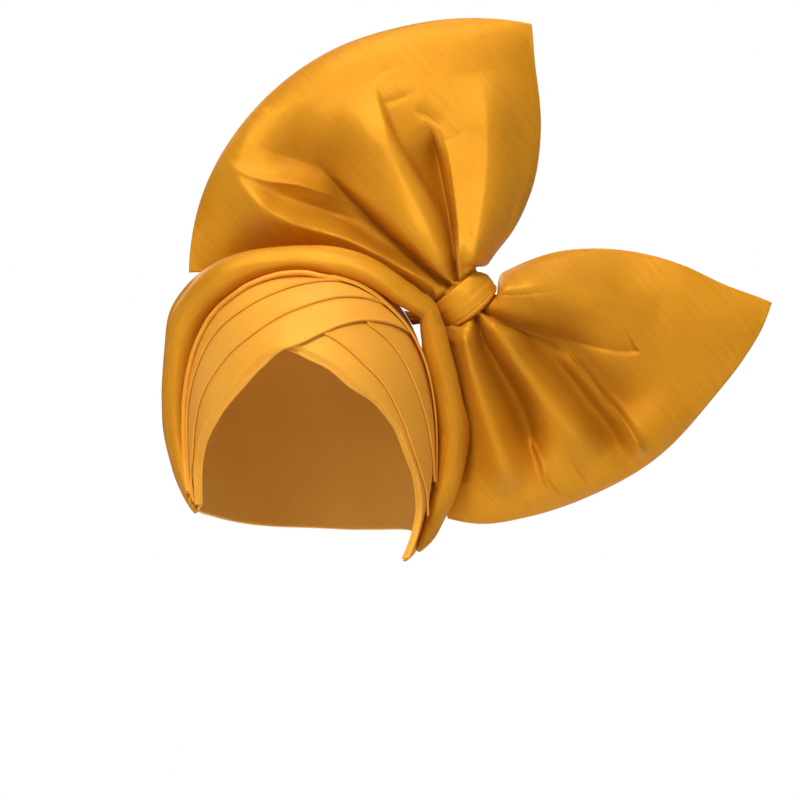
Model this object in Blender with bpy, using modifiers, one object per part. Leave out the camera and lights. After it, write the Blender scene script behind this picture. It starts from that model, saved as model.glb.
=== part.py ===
# Ready-tied head tie: a pleated cap, a padded roll round it and a two-winged bow, in shot taffeta
# Metres, +Z up. The face side looks along -Y, and the bow sits on the +X side
# The origin is the inside of the crown, where the cap rests on the head

import math

import bmesh
import bpy
from mathutils import Vector

# Driving sizes of the cap: inner width and depth, heights above and below its widest level
HEAD_WIDTH = 0.145
HEAD_DEPTH = 0.188
CROWN_HEIGHT = 0.100
NAPE_REACH = 0.158
CAP_WALL = 0.002
CAP_SQUARENESS = 2.3

# Driving sizes of the pleats laid on the cap
PLEAT_CLOTH = 0.0016
LAYER_GAP = 0.0009
PLEAT_TUCK = 0.22
FOLD_THICKNESS = 0.0034

# Driving sizes of the padded roll
HALO_THICKNESS = 0.0226
HALO_DEPTH = 0.029

# Cloth colours and how matt they are
CAP_COLOUR = (0.93, 0.47, 0.06)
CAP_ROUGHNESS = 0.55
BOW_COLOUR = (0.66, 0.29, 0.03)
BOW_ROUGHNESS = 0.45

# Driving sizes of the bow: its place, its reach and how far it swells
KNOT_RIGHT = 0.0945
KNOT_DROP = 0.0192
KNOT_FORWARD = 0.008
BOW_TURN = 129.2
UPPER_REACH = 0.178
LOWER_REACH = 0.194
UPPER_PUFF = 0.028
LOWER_PUFF = 0.026
WING_SWEEP = 0.024
SEAM_THICKNESS = 0.003

# Driving sizes of the band and the cloth gathered inside it
GATHER_WIDTH = 0.034
GATHER_DEPTH = 0.031
BAND_WIDTH = 0.0165
BAND_THICKNESS = 0.0032
CLEARANCE = 0.0004
TAB_WIDTH = 0.011

# How finely the surfaces are divided
CAP_STEPS = 13
FACE_EDGE_STEPS = 11
HEM_STEPS = 22
BAND_STEPS = 20
FOLD_POINTS = 24
HALO_LEFT_STEPS = 28
HALO_RIGHT_STEPS = 20
HALO_SIDES = 12
WING_COLUMNS = 36
KNOT_SIDES = 36
TAB_SIDES = 10

# Worked out from the driving sizes
HALF_WIDTH = HEAD_WIDTH / 2 + CAP_WALL
HALF_DEPTH = HEAD_DEPTH / 2 + CAP_WALL
RISE = CROWN_HEIGHT + CAP_WALL
FALL = NAPE_REACH + CAP_WALL
CENTRE = Vector((0, 0, -CROWN_HEIGHT))
LOW = LAYER_GAP
HIGH = LOW + PLEAT_CLOTH + LAYER_GAP
CROSSING = HIGH + PLEAT_CLOTH + LAYER_GAP
KNOT = Vector((KNOT_RIGHT, -KNOT_FORWARD, -KNOT_DROP))
BOW_AXIS = Vector((math.cos(math.radians(BOW_TURN)), 0, math.sin(math.radians(BOW_TURN))))
BOW_ACROSS = Vector((-BOW_AXIS.z, 0, BOW_AXIS.x))

# The cap's meridians start here, at the back of the crown
CROWN_DIRECTION = Vector((0, 0.8, 0.6))

# Lean from the first pleats' front folds back to the cap's own edge, in degrees
EDGE_SETBACK = 3

# Places on the cap are (roll, lean) in degrees. Roll turns from straight up towards +X, seen from
# the face. Lean is 0 at the middle of the face, 90 at the cap's outline and 180 at its back
LEFT_EDGE_1 = [(-108, 68), (-100, 64), (-95, 59), (-85, 47), (-61, 33), (-19, 28), (12, 33), (37, 47), (52, 62)]
LEFT_EDGE_2 = [(-101, 70), (-96, 66), (-79, 58), (-58, 47), (-36, 41), (-8, 43), (20, 51), (37, 59)]
LEFT_EDGE_3 = [(-101, 75), (-90, 76), (-74, 72), (-49, 60), (-35, 55), (-12, 54), (15, 57)]
LEFT_EDGE_4 = [(-99, 82), (-81, 83), (-67, 81), (-48, 74), (-36, 68), (-11, 63), (15, 60)]
RIGHT_EDGE_1 = [(-25, 33), (-16, 28), (11, 23), (51, 23), (76, 34), (95, 49), (103, 60), (111, 66), (123, 61)]
RIGHT_EDGE_2 = [(6, 37), (14, 33), (46, 32), (73, 40), (91, 49), (99, 57), (105, 67), (110, 72)]
RIGHT_EDGE_3 = [(32, 50), (38, 46), (56, 51), (75, 58), (91, 68), (98, 75), (102, 78)]
RIGHT_EDGE_4 = [(46, 60.5), (53, 62), (66, 66), (75, 70), (87, 76), (97, 79), (102, 80)]

# The hem round the back, from the left lower corner to the right one: heading is counted from +X
# towards the back, dip is the angle below the cap's widest level
HEM_ROWS = [(197, -34), (180, -36), (135, -37), (90, -37), (45, -40), (0, -46), (-20, -46)]

# The left panel rises over the right one as its roll goes from the first value to the second
RISE_OVER_RIGHT = (-45, -20)
# Across a band, as shares of its width: where it starts to fall from its front fold, and how fast
BAND_FLAT = 0.4
FIRST_BAND_FLAT = 0.6
BAND_FALL = 0.3

# The crown fold lies this lean before the panel's rear edge, and steps up at its right end
FOLD_SETBACK = 1.6
FOLD_STEP_START = 0.7
FOLD_STEP_LENGTH = 0.2

# Sections of the padded roll. stand is its clear height over the cap and thick its height, as
# shares of HALO_THICKNESS. deep is its width along the cap, as a share of HALO_DEPTH
# Columns: roll, lean, stand, thick, deep
HALO_LEFT_ROWS = [
    (-109, 74, 0.05, 0.13, 0.14),
    (-104, 82, 0.07, 0.36, 0.42),
    (-98, 89, 0.09, 0.58, 0.66),
    (-91, 91, 0.07, 0.71, 0.83),
    (-81, 92, 0.11, 0.75, 0.90),
    (-67, 91, 0.18, 0.84, 0.97),
    (-56, 88, 0.22, 0.97, 1.00),
    (-47, 84, 0.14, 1.00, 1.00),
    (-36, 77, 0.05, 0.97, 0.93),
    (-24, 74, 0.03, 0.80, 0.86),
    (-12, 72, 0.03, 0.68, 0.83),
    (9, 69, 0.03, 0.71, 0.83),
    (26, 69, 0.03, 0.75, 0.83),
    (41, 71, 0.07, 0.78, 0.83),
    (53, 76, 0.36, 0.68, 0.76),
]
HALO_RIGHT_ROWS = [
    (53, 76, 0.36, 0.68, 0.76),
    (60, 76, 0.18, 0.68, 0.76),
    (68, 77, 0.05, 0.80, 0.83),
    (80, 82, 0.05, 0.85, 0.90),
    (90, 86, 0.13, 0.90, 0.97),
    (97, 88, 0.14, 0.88, 0.97),
    (104, 87, 0.16, 0.76, 0.86),
    (110, 83, 0.12, 0.50, 0.62),
    (114, 78, 0.08, 0.38, 0.45),
    (118, 72, 0.05, 0.14, 0.16),
]

# Outlines of the wings, seen from the face. turn is in degrees from +X towards +Z, about the knot
# The rim runs from one tip to the other; reach is a share of the wing's reach
UPPER_RIM = [(76, 1.0), (91, 0.99), (103, 0.985), (118, 0.993), (139, 0.995), (159, 0.99), (174.5, 0.972)]
LOWER_RIM = [
    (-94, 0.713),
    (-86, 0.730),
    (-73, 0.737),
    (-57, 0.760),
    (-40, 0.810),
    (-20, 0.880),
    (-12, 0.930),
    (-5, 0.977),
    (-0.7, 1.0),
]
# Side edges run from the knot out to a tip; out is a share of the rim's reach at that tip
UPPER_RIGHT_SIDE = [(0.05, 50), (0.16, 54), (0.28, 53.5), (0.43, 57), (0.65, 65), (0.87, 73), (1, 76)]
UPPER_LEFT_SIDE = [(0.05, 190), (0.16, 185), (0.25, 174), (0.38, 164), (0.5, 165), (0.72, 172), (1, 174.5)]
LOWER_LEFT_SIDE = [(0.05, -135), (0.15, -112), (0.25, -101), (0.4, -97), (0.6, -96), (0.8, -95), (1, -94)]
LOWER_RIGHT_SIDE = [(0.05, 36), (0.21, 31), (0.3, 28), (0.47, 20.2), (0.71, 9.2), (0.83, 3.8), (1, -0.7)]

# Folds that radiate from the knot. depth is a share of the wing's puff, width is in degrees,
# start and end are shares of the reach
# Columns: turn_in, turn_out, depth, width, start, end
UPPER_FOLDS = [
    (100, 113, 0.62, 7, 0.05, 0.97),
    (96, 105, 0.36, 5, 0.15, 0.78),
    (139, 137, 0.50, 8, 0.05, 0.68),
    (138, 138, 0.34, 17, 0.45, 0.96),
    (166, 162, 0.26, 8, 0.15, 0.85),
    (76, 88, 0.16, 8, 0.20, 0.80),
]
LOWER_FOLDS = [
    (-34, -14, 0.62, 7, 0.05, 0.70),
    (-64, -69, 0.48, 8, 0.05, 0.90),
    (-39, -37, 0.40, 9, 0.30, 0.96),
    (-27, -24, 0.26, 9, 0.45, 0.92),
    (-88, -84, 0.20, 8, 0.15, 0.85),
    (6, 4, 0.12, 8, 0.20, 0.70),
]
# Shares of the reach where the gathered cloth leaves the band, and over which it spreads
GATHER_END = 0.04
FLARE_SHARE = 0.11
WING_STATIONS = (0.075, 0.11, 0.15, 0.2, 0.27, 0.35, 0.44, 0.54, 0.64, 0.73, 0.81, 0.88, 0.94, 1.0)
# The puff dies away towards the rim and the sides with these powers
RIM_POWER = 0.8
SIDE_POWER = 0.75
# The wings sweep back over this share of their reach
SWEEP_SHARE = 0.6
# A fold sinks in and runs out over these shares of the reach, with a flank of this power
FOLD_LEAD_IN = 0.12
FOLD_RUN_OUT = 0.25
FOLD_FLANK = 1.3
# The most that a fold may take of the thickness, where it is thin, and what shows at the back
FOLD_LIMIT = 0.75
THIN_CLOTH = 0.008
BACK_FOLD = 0.6

# The band's crown: place along its width, and height as a share of its thickness
BAND_PROFILE = [(-0.5, 0.0), (-0.46, 0.6), (-0.25, 0.92), (0.0, 1.0), (0.25, 0.92), (0.46, 0.6), (0.5, 0.0)]

# The scrap of cloth from the cap to the knot: place along its way, and width as shares of TAB_WIDTH
TAB_FOOT = (50, 92)
TAB_ROWS = [(0.0, 1.0), (0.35, 0.8), (0.7, 0.75), (1.0, 0.9)]
TAB_FLATNESS = 0.7

# Keeps a slope finite at the very front and back of the cap
TINY = 1e-9


def smooth_step(value):
    """0 below 0, 1 above 1, and an even curve between."""
    value = min(1.0, max(0.0, value))
    return value * value * (3 - 2 * value)


def along_rows(rows, share):
    """A smooth curve through the rows, read at a share of the way from the first to the last."""
    place = min(1.0, max(0.0, share)) * (len(rows) - 1)
    index = min(int(place), len(rows) - 2)
    t = place - index
    before = rows[max(index - 1, 0)]
    after = rows[min(index + 2, len(rows) - 1)]
    values = []
    for p, q, r, s in zip(before, rows[index], rows[index + 1], after):
        curve = 2 * q + (r - p) * t + (2 * p - 5 * q + 4 * r - s) * t * t + (3 * q - p - 3 * r + s) * t ** 3
        values.append(curve / 2)
    return values


def read_row(rows, key):
    """The second column at a key of the first column, straight between rows."""
    for (key_0, value_0), (key_1, value_1) in zip(rows, rows[1:]):
        if key <= key_1:
            t = (key - key_0) / (key_1 - key_0)
            return value_0 + (value_1 - value_0) * max(0.0, t)
    return rows[-1][1]


def on_cap(roll, lean):
    """The point on the cap's outer face at this roll and lean."""
    sideways = math.sin(math.radians(roll))
    upwards = math.cos(math.radians(roll))
    power = CAP_SQUARENESS
    ring = (abs(sideways) ** power + abs(upwards) ** power) ** (1 / power)
    spread = math.sin(math.radians(lean)) / ring
    height = RISE if upwards > 0 else FALL
    depth = -HALF_DEPTH * math.cos(math.radians(lean))
    return CENTRE + Vector((HALF_WIDTH * spread * sideways, depth, height * spread * upwards))


def outward(point):
    """The cap's outward direction at a point on it."""
    x, y, z = point - CENTRE
    height = RISE if z > 0 else FALL
    power = CAP_SQUARENESS
    total = abs(x / HALF_WIDTH) ** power + abs(z / height) ** power
    scale = max(total, TINY) ** (2 / power - 1)
    slope_x = scale * math.copysign(abs(x / HALF_WIDTH) ** (power - 1), x) / HALF_WIDTH
    slope_z = scale * math.copysign(abs(z / height) ** (power - 1), z) / height
    return Vector((slope_x, y / HALF_DEPTH ** 2, slope_z)).normalized()


def over_cap(roll, lean, height):
    """A point at a height over the cap's outer face."""
    point = on_cap(roll, lean)
    return point + outward(point) * height


def cap_towards(direction):
    """The point on the cap's outer face that lies in this direction from its centre."""
    height = RISE if direction.z > 0 else FALL
    power = CAP_SQUARENESS
    total = abs(direction.x / HALF_WIDTH) ** power + abs(direction.z / height) ** power
    size = math.sqrt(total ** (2 / power) + (direction.y / HALF_DEPTH) ** 2)
    return CENTRE + direction / size


def new_object(name, mesh, material):
    obj = bpy.data.objects.new(name, mesh)
    mesh.materials.append(material)
    parts.objects.link(obj)
    obj.parent = mount
    return obj


def grid_mesh(rows, closed=False, ring=False):
    """A surface through rows of points; closed joins the last column to the first, ring the rows."""
    bm = bmesh.new()
    verts = [[bm.verts.new(point) for point in row] for row in rows]
    columns = len(rows[0])
    following = verts[1:] + verts[:1] if ring else verts[1:]
    for lower, upper in zip(verts, following):
        for j in range(columns if closed else columns - 1):
            k = (j + 1) % columns
            bm.faces.new((lower[j], lower[k], upper[k], upper[j]))
    return bm, verts


def finish_mesh(name, bm):
    bmesh.ops.recalc_face_normals(bm, faces=bm.faces)
    mesh = bpy.data.meshes.new(name)
    bm.to_mesh(mesh)
    bm.free()
    mesh.shade_smooth()
    return mesh


def add_wall(obj, thickness, side):
    """Gives an open surface its thickness: side 1 outwards, -1 inwards."""
    wall = obj.modifiers.new("wall", "SOLIDIFY")
    wall.thickness = thickness
    wall.offset = side


def face_outwards(bm):
    """Turns an open surface over the cap so that its faces look away from the cap's centre."""
    bm.normal_update()
    total = sum((face.calc_center_median() - CENTRE).dot(face.normal) for face in bm.faces)
    if total < 0:
        bmesh.ops.reverse_faces(bm, faces=bm.faces)


def shell_object(name, bm, thickness, side, material):
    face_outwards(bm)
    mesh = bpy.data.meshes.new(name)
    bm.to_mesh(mesh)
    bm.free()
    mesh.shade_smooth()
    obj = new_object(name, mesh, material)
    add_wall(obj, thickness, side)
    return obj


def pleat_width(front, rear, share):
    """The lean between two edges at the same share of their lengths."""
    return abs(along_rows(rear, share)[1] - along_rows(front, share)[1])


def cap_edge():
    """The cap's edge: up the left of the face, over and down its right, and back round the hem."""
    points = []
    for step in range(FACE_EDGE_STEPS + 1):
        roll, lean = along_rows(LEFT_EDGE_1[:6], step / FACE_EDGE_STEPS)
        points.append(on_cap(roll, lean + EDGE_SETBACK))
    for step in range(1, FACE_EDGE_STEPS + 1):
        roll, lean = along_rows(RIGHT_EDGE_1[1:], step / FACE_EDGE_STEPS)
        points.append(on_cap(roll, lean + EDGE_SETBACK))
    for step in range(1, HEM_STEPS):
        heading, dip = along_rows(HEM_ROWS[::-1], step / HEM_STEPS)
        flat = math.cos(math.radians(dip))
        back = Vector((math.cos(math.radians(heading)), math.sin(math.radians(heading)), 0)) * flat
        points.append(cap_towards(back + Vector((0, 0, math.sin(math.radians(dip))))))
    return points


def make_cap(material):
    """Meridians run from the back of the crown to the edge, and the wall goes inwards."""
    rows = []
    for step in range(CAP_STEPS):
        row = []
        for point in cap_edge():
            direction = CROWN_DIRECTION.slerp((point - CENTRE).normalized(), (step + 1) / CAP_STEPS)
            row.append(cap_towards(direction))
        rows.append(row)
    bm, verts = grid_mesh(rows, closed=True)
    top = bm.verts.new(cap_towards(CROWN_DIRECTION))
    count = len(verts[0])
    for j in range(count):
        bm.faces.new((top, verts[0][j], verts[0][(j + 1) % count]))
    bmesh.ops.recalc_face_normals(bm, faces=bm.faces)
    shell_object("cap", bm, CAP_WALL, -1, material)


def make_pleat(name, front, rear, beyond, material, front_height=HIGH, crossing=0.0, flat=BAND_FLAT):
    """One folded band: high along its front fold, which lies on the band before, and low behind.

    Its rear goes on under the next band, whose rear edge is beyond; the last band has none.
    """
    fallen = flat + BAND_FALL
    stations = (0.0, flat, fallen, (fallen + 1) / 2, 1.0)
    over_start, over_end = RISE_OVER_RIGHT
    rows = []
    for step in range(BAND_STEPS + 1):
        share = step / BAND_STEPS
        roll_0, lean_0 = along_rows(front, share)
        roll_1, lean_1 = along_rows(rear, share)
        tuck = 0.0
        if beyond:
            width = pleat_width(front, rear, share)
            tuck = PLEAT_TUCK * min(1.0, pleat_width(rear, beyond, share) / width)
        rise = crossing * smooth_step((roll_0 - over_start) / (over_end - over_start))
        row = []
        for station in stations:
            across = station * (1 + tuck) if station > fallen else station
            roll = roll_0 + (roll_1 - roll_0) * across
            lean = lean_0 + (lean_1 - lean_0) * across
            held_up = 1 - smooth_step((station - flat) / BAND_FALL)
            height = LOW + (front_height + rise - LOW) * held_up
            row.append(over_cap(roll, lean, height))
        rows.append(row)
    bm, _ = grid_mesh(rows)
    bmesh.ops.recalc_face_normals(bm, faces=bm.faces)
    shell_object(name, bm, PLEAT_CLOTH, 1, material)


def make_pleats(material):
    left = (LEFT_EDGE_1, LEFT_EDGE_2, LEFT_EDGE_3, LEFT_EDGE_4, None)
    right = (RIGHT_EDGE_1, RIGHT_EDGE_2, RIGHT_EDGE_3, RIGHT_EDGE_4, None)
    over = CROSSING - HIGH
    make_pleat("left_pleat_1", *left[0:3], material, crossing=over, flat=FIRST_BAND_FLAT)
    make_pleat("left_pleat_2", *left[1:4], material)
    make_pleat("left_pleat_3", *left[2:5], material)
    make_pleat("right_pleat_1", *right[0:3], material, front_height=LOW)
    make_pleat("right_pleat_2", *right[1:4], material)
    make_pleat("right_pleat_3", *right[2:5], material)


def make_crown_fold(material):
    """A thin roll of cloth on the rear of the last left pleat."""
    radius = FOLD_THICKNESS / 2
    centre_height = LOW + PLEAT_CLOTH + LAYER_GAP + radius
    curve = bpy.data.curves.new("crown_fold", "CURVE")
    curve.dimensions = "3D"
    curve.bevel_depth = radius
    curve.bevel_resolution = 2
    curve.use_fill_caps = True
    spline = curve.splines.new("POLY")
    spline.points.add(FOLD_POINTS - 1)
    for index in range(FOLD_POINTS):
        share = index / (FOLD_POINTS - 1)
        roll, lean = along_rows(LEFT_EDGE_4, share)
        step_up = (HIGH - LOW) * smooth_step((share - FOLD_STEP_START) / FOLD_STEP_LENGTH)
        place = over_cap(roll, lean - FOLD_SETBACK, centre_height + step_up)
        spline.points[index].co = (*place, 1)
    obj = bpy.data.objects.new("crown_fold", curve)
    curve.materials.append(material)
    parts.objects.link(obj)
    obj.parent = mount


def halo_sections():
    """Centre, outward direction, half height and half width of each section of the roll."""
    sections = []
    for rows, steps in ((HALO_LEFT_ROWS, HALO_LEFT_STEPS), (HALO_RIGHT_ROWS, HALO_RIGHT_STEPS)):
        first = 1 if sections else 0
        for step in range(first, steps + 1):
            roll, lean, stand, thick, deep = along_rows(rows, step / steps)
            half_height = thick * HALO_THICKNESS / 2
            height = stand * HALO_THICKNESS + half_height + CLEARANCE
            foot = on_cap(roll, lean)
            normal = outward(foot)
            sections.append((foot + normal * height, normal, half_height, deep * HALO_DEPTH / 2))
    return sections


def make_halo(material):
    sections = halo_sections()
    last = len(sections) - 1
    rows = []
    for index, (centre, normal, half_height, half_width) in enumerate(sections):
        ahead = sections[min(index + 1, last)][0] - sections[max(index - 1, 0)][0]
        side = ahead.cross(normal).normalized()
        row = []
        for step in range(HALO_SIDES):
            angle = 2 * math.pi * step / HALO_SIDES
            row.append(centre + normal * half_height * math.cos(angle) + side * half_width * math.sin(angle))
        rows.append(row)
    bm, verts = grid_mesh(rows, closed=True)
    bm.faces.new(verts[0])
    bm.faces.new(verts[-1])
    new_object("halo_roll", finish_mesh("halo_roll", bm), material)


def fold_depth(folds, turn, out):
    """How deep the folds sink the cloth here, as a share of the puff."""
    depth = 0.0
    for turn_in, turn_out, deep, width, start, end in folds:
        middle = turn_in + (turn_out - turn_in) * out
        near = max(0.0, 1 - abs(turn - middle) / width)
        length = smooth_step((out - start) / FOLD_LEAD_IN) * smooth_step((end - out) / FOLD_RUN_OUT)
        depth = max(depth, deep * near ** FOLD_FLANK * length)
    return depth


def make_wing(name, reach, puff, rim, side_0, side_1, folds, axis, material):
    """A padded fan: gathered in the band, spread between its side edges, thin at its seams."""
    across = Vector((-axis.z, 0, axis.x))
    gathered = (CLEARANCE, BAND_WIDTH / 2 + CLEARANCE)
    seam = SEAM_THICKNESS / 2
    front_rows = []
    back_rows = []
    for station in gathered + WING_STATIONS:
        in_band = station in gathered
        front = []
        back = []
        for column in range(WING_COLUMNS + 1):
            share = column / WING_COLUMNS
            from_middle = 2 * share - 1
            round_off = math.sqrt(max(0.0, 1 - from_middle ** 2))
            along = station if in_band else station * reach
            straight = KNOT + axis * along + across * (from_middle * GATHER_WIDTH / 2)
            bundle = max(seam, GATHER_DEPTH / 2 * round_off)
            if in_band:
                front.append(straight + Vector((0, -bundle, 0)))
                back.append(straight + Vector((0, bundle, 0)))
                continue
            turn_0 = read_row(side_0, station)
            turn_1 = read_row(side_1, station)
            turn = turn_0 + (turn_1 - turn_0) * share
            rim_turn = rim[0][0] + (rim[-1][0] - rim[0][0]) * share
            radius = station * reach * read_row(rim, rim_turn)
            spread = Vector((math.cos(math.radians(turn)), 0, math.sin(math.radians(turn)))) * radius
            open_share = smooth_step((station - GATHER_END) / FLARE_SHARE)
            place = straight.lerp(KNOT + spread, open_share)
            swell = puff * (1 - station ** 3) ** RIM_POWER * (1 - from_middle ** 2) ** SIDE_POWER
            thick = max(seam, bundle + (swell - bundle) * open_share)
            place.y += WING_SWEEP * smooth_step(station / SWEEP_SHARE)
            sunk = min(fold_depth(folds, turn, station) * puff, FOLD_LIMIT * thick)
            sunk *= smooth_step(thick / THIN_CLOTH)
            front.append(place + Vector((0, -thick + sunk, 0)))
            back.append(place + Vector((0, thick - sunk * BACK_FOLD, 0)))
        front_rows.append(front)
        back_rows.append(back)
    rows = [f + b[::-1] for f, b in zip(front_rows, back_rows)]
    bm, verts = grid_mesh(rows, closed=True)
    count = WING_COLUMNS + 1
    for end in (verts[0], verts[-1]):
        for j in range(WING_COLUMNS):
            bm.faces.new((end[j], end[j + 1], end[2 * count - 2 - j], end[2 * count - 1 - j]))
    new_object(name, finish_mesh(name, bm), material)


def make_bow(material):
    make_wing(
        "bow_upper_wing", UPPER_REACH, UPPER_PUFF, UPPER_RIM,
        UPPER_RIGHT_SIDE, UPPER_LEFT_SIDE, UPPER_FOLDS, BOW_AXIS, material,
    )
    make_wing(
        "bow_lower_wing", LOWER_REACH, LOWER_PUFF, LOWER_RIM,
        LOWER_LEFT_SIDE, LOWER_RIGHT_SIDE, LOWER_FOLDS, -BOW_AXIS, material,
    )


def make_knot(material):
    """The band that wraps the gathered cloth, crowned across its width."""
    half_width = GATHER_WIDTH / 2 + CLEARANCE
    half_depth = GATHER_DEPTH / 2 + CLEARANCE
    rows = []
    for along, crown in BAND_PROFILE:
        swell = crown * BAND_THICKNESS
        row = []
        for step in range(KNOT_SIDES):
            angle = 2 * math.pi * step / KNOT_SIDES
            across = BOW_ACROSS * math.cos(angle) * (half_width + swell)
            depth = Vector((0, math.sin(angle) * (half_depth + swell), 0))
            row.append(KNOT + BOW_AXIS * along * BAND_WIDTH + across + depth)
        rows.append(row)
    bm, _ = grid_mesh(rows, closed=True, ring=True)
    new_object("bow_knot", finish_mesh("bow_knot", bm), material)


def make_tab(material):
    """The scrap that holds the bow to the cap, from behind the roll to the knot's near end."""
    roll, lean = TAB_FOOT
    foot = over_cap(roll, lean, CLEARANCE)
    away = outward(on_cap(roll, lean))
    reach = GATHER_WIDTH / 2 + BAND_THICKNESS + CLEARANCE * 2
    tip = KNOT + BOW_ACROSS * reach
    rows = []
    for share, wide in TAB_ROWS:
        ahead = away.lerp(-BOW_ACROSS, share).normalized()
        side = ahead.cross(Vector((0, 1, 0))).normalized()
        deep = side.cross(ahead)
        row = []
        for step in range(TAB_SIDES):
            angle = 2 * math.pi * step / TAB_SIDES
            flat = side * math.cos(angle) + deep * math.sin(angle) * TAB_FLATNESS
            row.append(foot.lerp(tip, share) + flat * TAB_WIDTH / 2 * wide)
        rows.append(row)
    bm, verts = grid_mesh(rows, closed=True)
    bm.faces.new(verts[0])
    bm.faces.new(verts[-1])
    new_object("knot_tab", finish_mesh("knot_tab", bm), material)


def cloth_material(name, colour, roughness):
    material = bpy.data.materials.new(name)
    material.use_nodes = True
    shader = material.node_tree.nodes["Principled BSDF"]
    shader.inputs["Base Color"].default_value = (*colour, 1)
    shader.inputs["Roughness"].default_value = roughness
    shader.inputs["Metallic"].default_value = 0.0
    return material


for leftover in list(bpy.data.objects):
    bpy.data.objects.remove(leftover)

parts = bpy.data.collections.new("tied_gele_head_tie")
bpy.context.scene.collection.children.link(parts)
mount = bpy.data.objects.new("head_seat", None)
parts.objects.link(mount)

cap_cloth = cloth_material("cap_cloth", CAP_COLOUR, CAP_ROUGHNESS)
bow_cloth = cloth_material("bow_cloth", BOW_COLOUR, BOW_ROUGHNESS)

make_cap(cap_cloth)
make_pleats(cap_cloth)
make_crown_fold(cap_cloth)
make_halo(bow_cloth)
make_bow(bow_cloth)
make_knot(bow_cloth)
make_tab(bow_cloth)
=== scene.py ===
# %% [markdown]
# # A ready-tied gele head tie in golden shot taffeta
# The solids come first. They give every piece its place and size, in metres, and each cloth piece
# below stands in the space that its solid holds.

import math

import bmesh
import bpy
import numpy as np
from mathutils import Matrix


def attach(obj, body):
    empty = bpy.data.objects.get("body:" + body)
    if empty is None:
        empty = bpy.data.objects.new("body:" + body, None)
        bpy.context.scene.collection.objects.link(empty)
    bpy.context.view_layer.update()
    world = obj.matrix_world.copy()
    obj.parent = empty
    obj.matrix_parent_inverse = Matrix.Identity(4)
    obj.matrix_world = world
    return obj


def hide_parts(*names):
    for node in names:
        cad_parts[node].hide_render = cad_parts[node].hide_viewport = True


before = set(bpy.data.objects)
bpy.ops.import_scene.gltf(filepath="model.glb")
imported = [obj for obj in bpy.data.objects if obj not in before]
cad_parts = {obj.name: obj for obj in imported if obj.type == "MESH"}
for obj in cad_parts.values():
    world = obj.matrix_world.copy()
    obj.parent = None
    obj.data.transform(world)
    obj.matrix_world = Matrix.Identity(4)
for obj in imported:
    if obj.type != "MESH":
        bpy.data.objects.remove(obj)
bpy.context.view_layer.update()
print("solids:", ", ".join(sorted(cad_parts)))

# %% [markdown]
# ## The camera, the floor and the light
# The photograph looks straight at the front opening, level with its top, from about two metres. A
# long lens keeps the bow from growing towards the camera. Large soft lamps suit taffeta: a small lamp
# would draw hard white spots on its sheen.

# %% Helpers for objects and nodes
def show(name, data):
    """Puts new data in the scene as an object, and gives the object."""
    holder = bpy.data.objects.new(name, data)
    bpy.context.scene.collection.objects.link(holder)
    return holder


def add(tree, kind, inputs, **settings):
    """A new node with these settings. An input is linked if its value is a socket, and else set."""
    node = tree.nodes.new(kind)
    for title, value in settings.items():
        setattr(node, title, value)
    for place, value in inputs.items():
        if isinstance(value, bpy.types.NodeSocket):
            tree.links.new(value, node.inputs[place])
        else:
            node.inputs[place].default_value = value
    return node


# %% Camera
CAMERA_PLACE = (0.05494, -2.020, -0.08272)
LENS_MM = 145.8
camera = show("camera", bpy.data.cameras.new("camera"))
camera.location = CAMERA_PLACE
camera.rotation_euler = (math.radians(90), 0, 0)
camera.data.sensor_width = 36
camera.data.lens = LENS_MM
camera.data.clip_start = 0.1
camera.data.clip_end = 100
bpy.context.scene.camera = camera
print("camera lens, mm:", LENS_MM)


# %% Lamps
MIDDLE = np.array([0.06, 0.0, 0.0])
# Columns: name, place, size in metres, watts
LAMPS = [
    ("key", (-0.42, -1.6, 1.85), 0.6, 50),
    ("front", (-0.9, -2.3, 0.7), 1.2, 8),
    ("side", (1.7, -1.5, 1.2), 1.0, 8),
    ("top", (-0.1, 0.2, 2.2), 1.2, 20),
    ("behind", (-0.8, 1.9, 0.9), 1.2, 10),
]
for name, place, size, power in LAMPS:
    lamp = bpy.data.lights.new(name, "AREA")
    lamp.shape = "SQUARE"
    lamp.size = size
    lamp.energy = power
    holder = show(name, lamp)
    holder.location = place
    right, ahead, up = MIDDLE - np.array(place, float)
    holder.rotation_euler = (math.atan2(math.hypot(right, ahead), -up), 0, math.atan2(-right, ahead))
    print("lamp:", name, power, "W")

# %% [markdown]
# The backdrop and the floor are white where the camera looks straight at them, but they light the
# cloth only a little. Otherwise light from all sides would fill every fold and hide its shape.

# %% Backdrop
AMBIENT = 0.15
WHITE = (1, 1, 1, 1)


def white_to_the_camera(tree, shader, white, end):
    """Shows the camera the white shader, and everything else the other one."""
    to_camera = tree.nodes.new("ShaderNodeLightPath").outputs["Is Camera Ray"]
    either = add(tree, "ShaderNodeMixShader", {"Fac": to_camera, 1: shader.outputs[0], 2: white.outputs[0]})
    tree.links.new(either.outputs["Shader"], tree.nodes[end].inputs["Surface"])


world = bpy.data.worlds.new("studio")
world.use_nodes = True
sky = world.node_tree
dim = sky.nodes["Background"]
dim.inputs["Color"].default_value = WHITE
dim.inputs["Strength"].default_value = AMBIENT
white_to_the_camera(sky, dim, add(sky, "ShaderNodeBackground", {"Color": WHITE}), "World Output")
bpy.context.scene.world = world
bpy.context.scene.view_settings.view_transform = "Standard"
print("light from all round:", AMBIENT)

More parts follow.
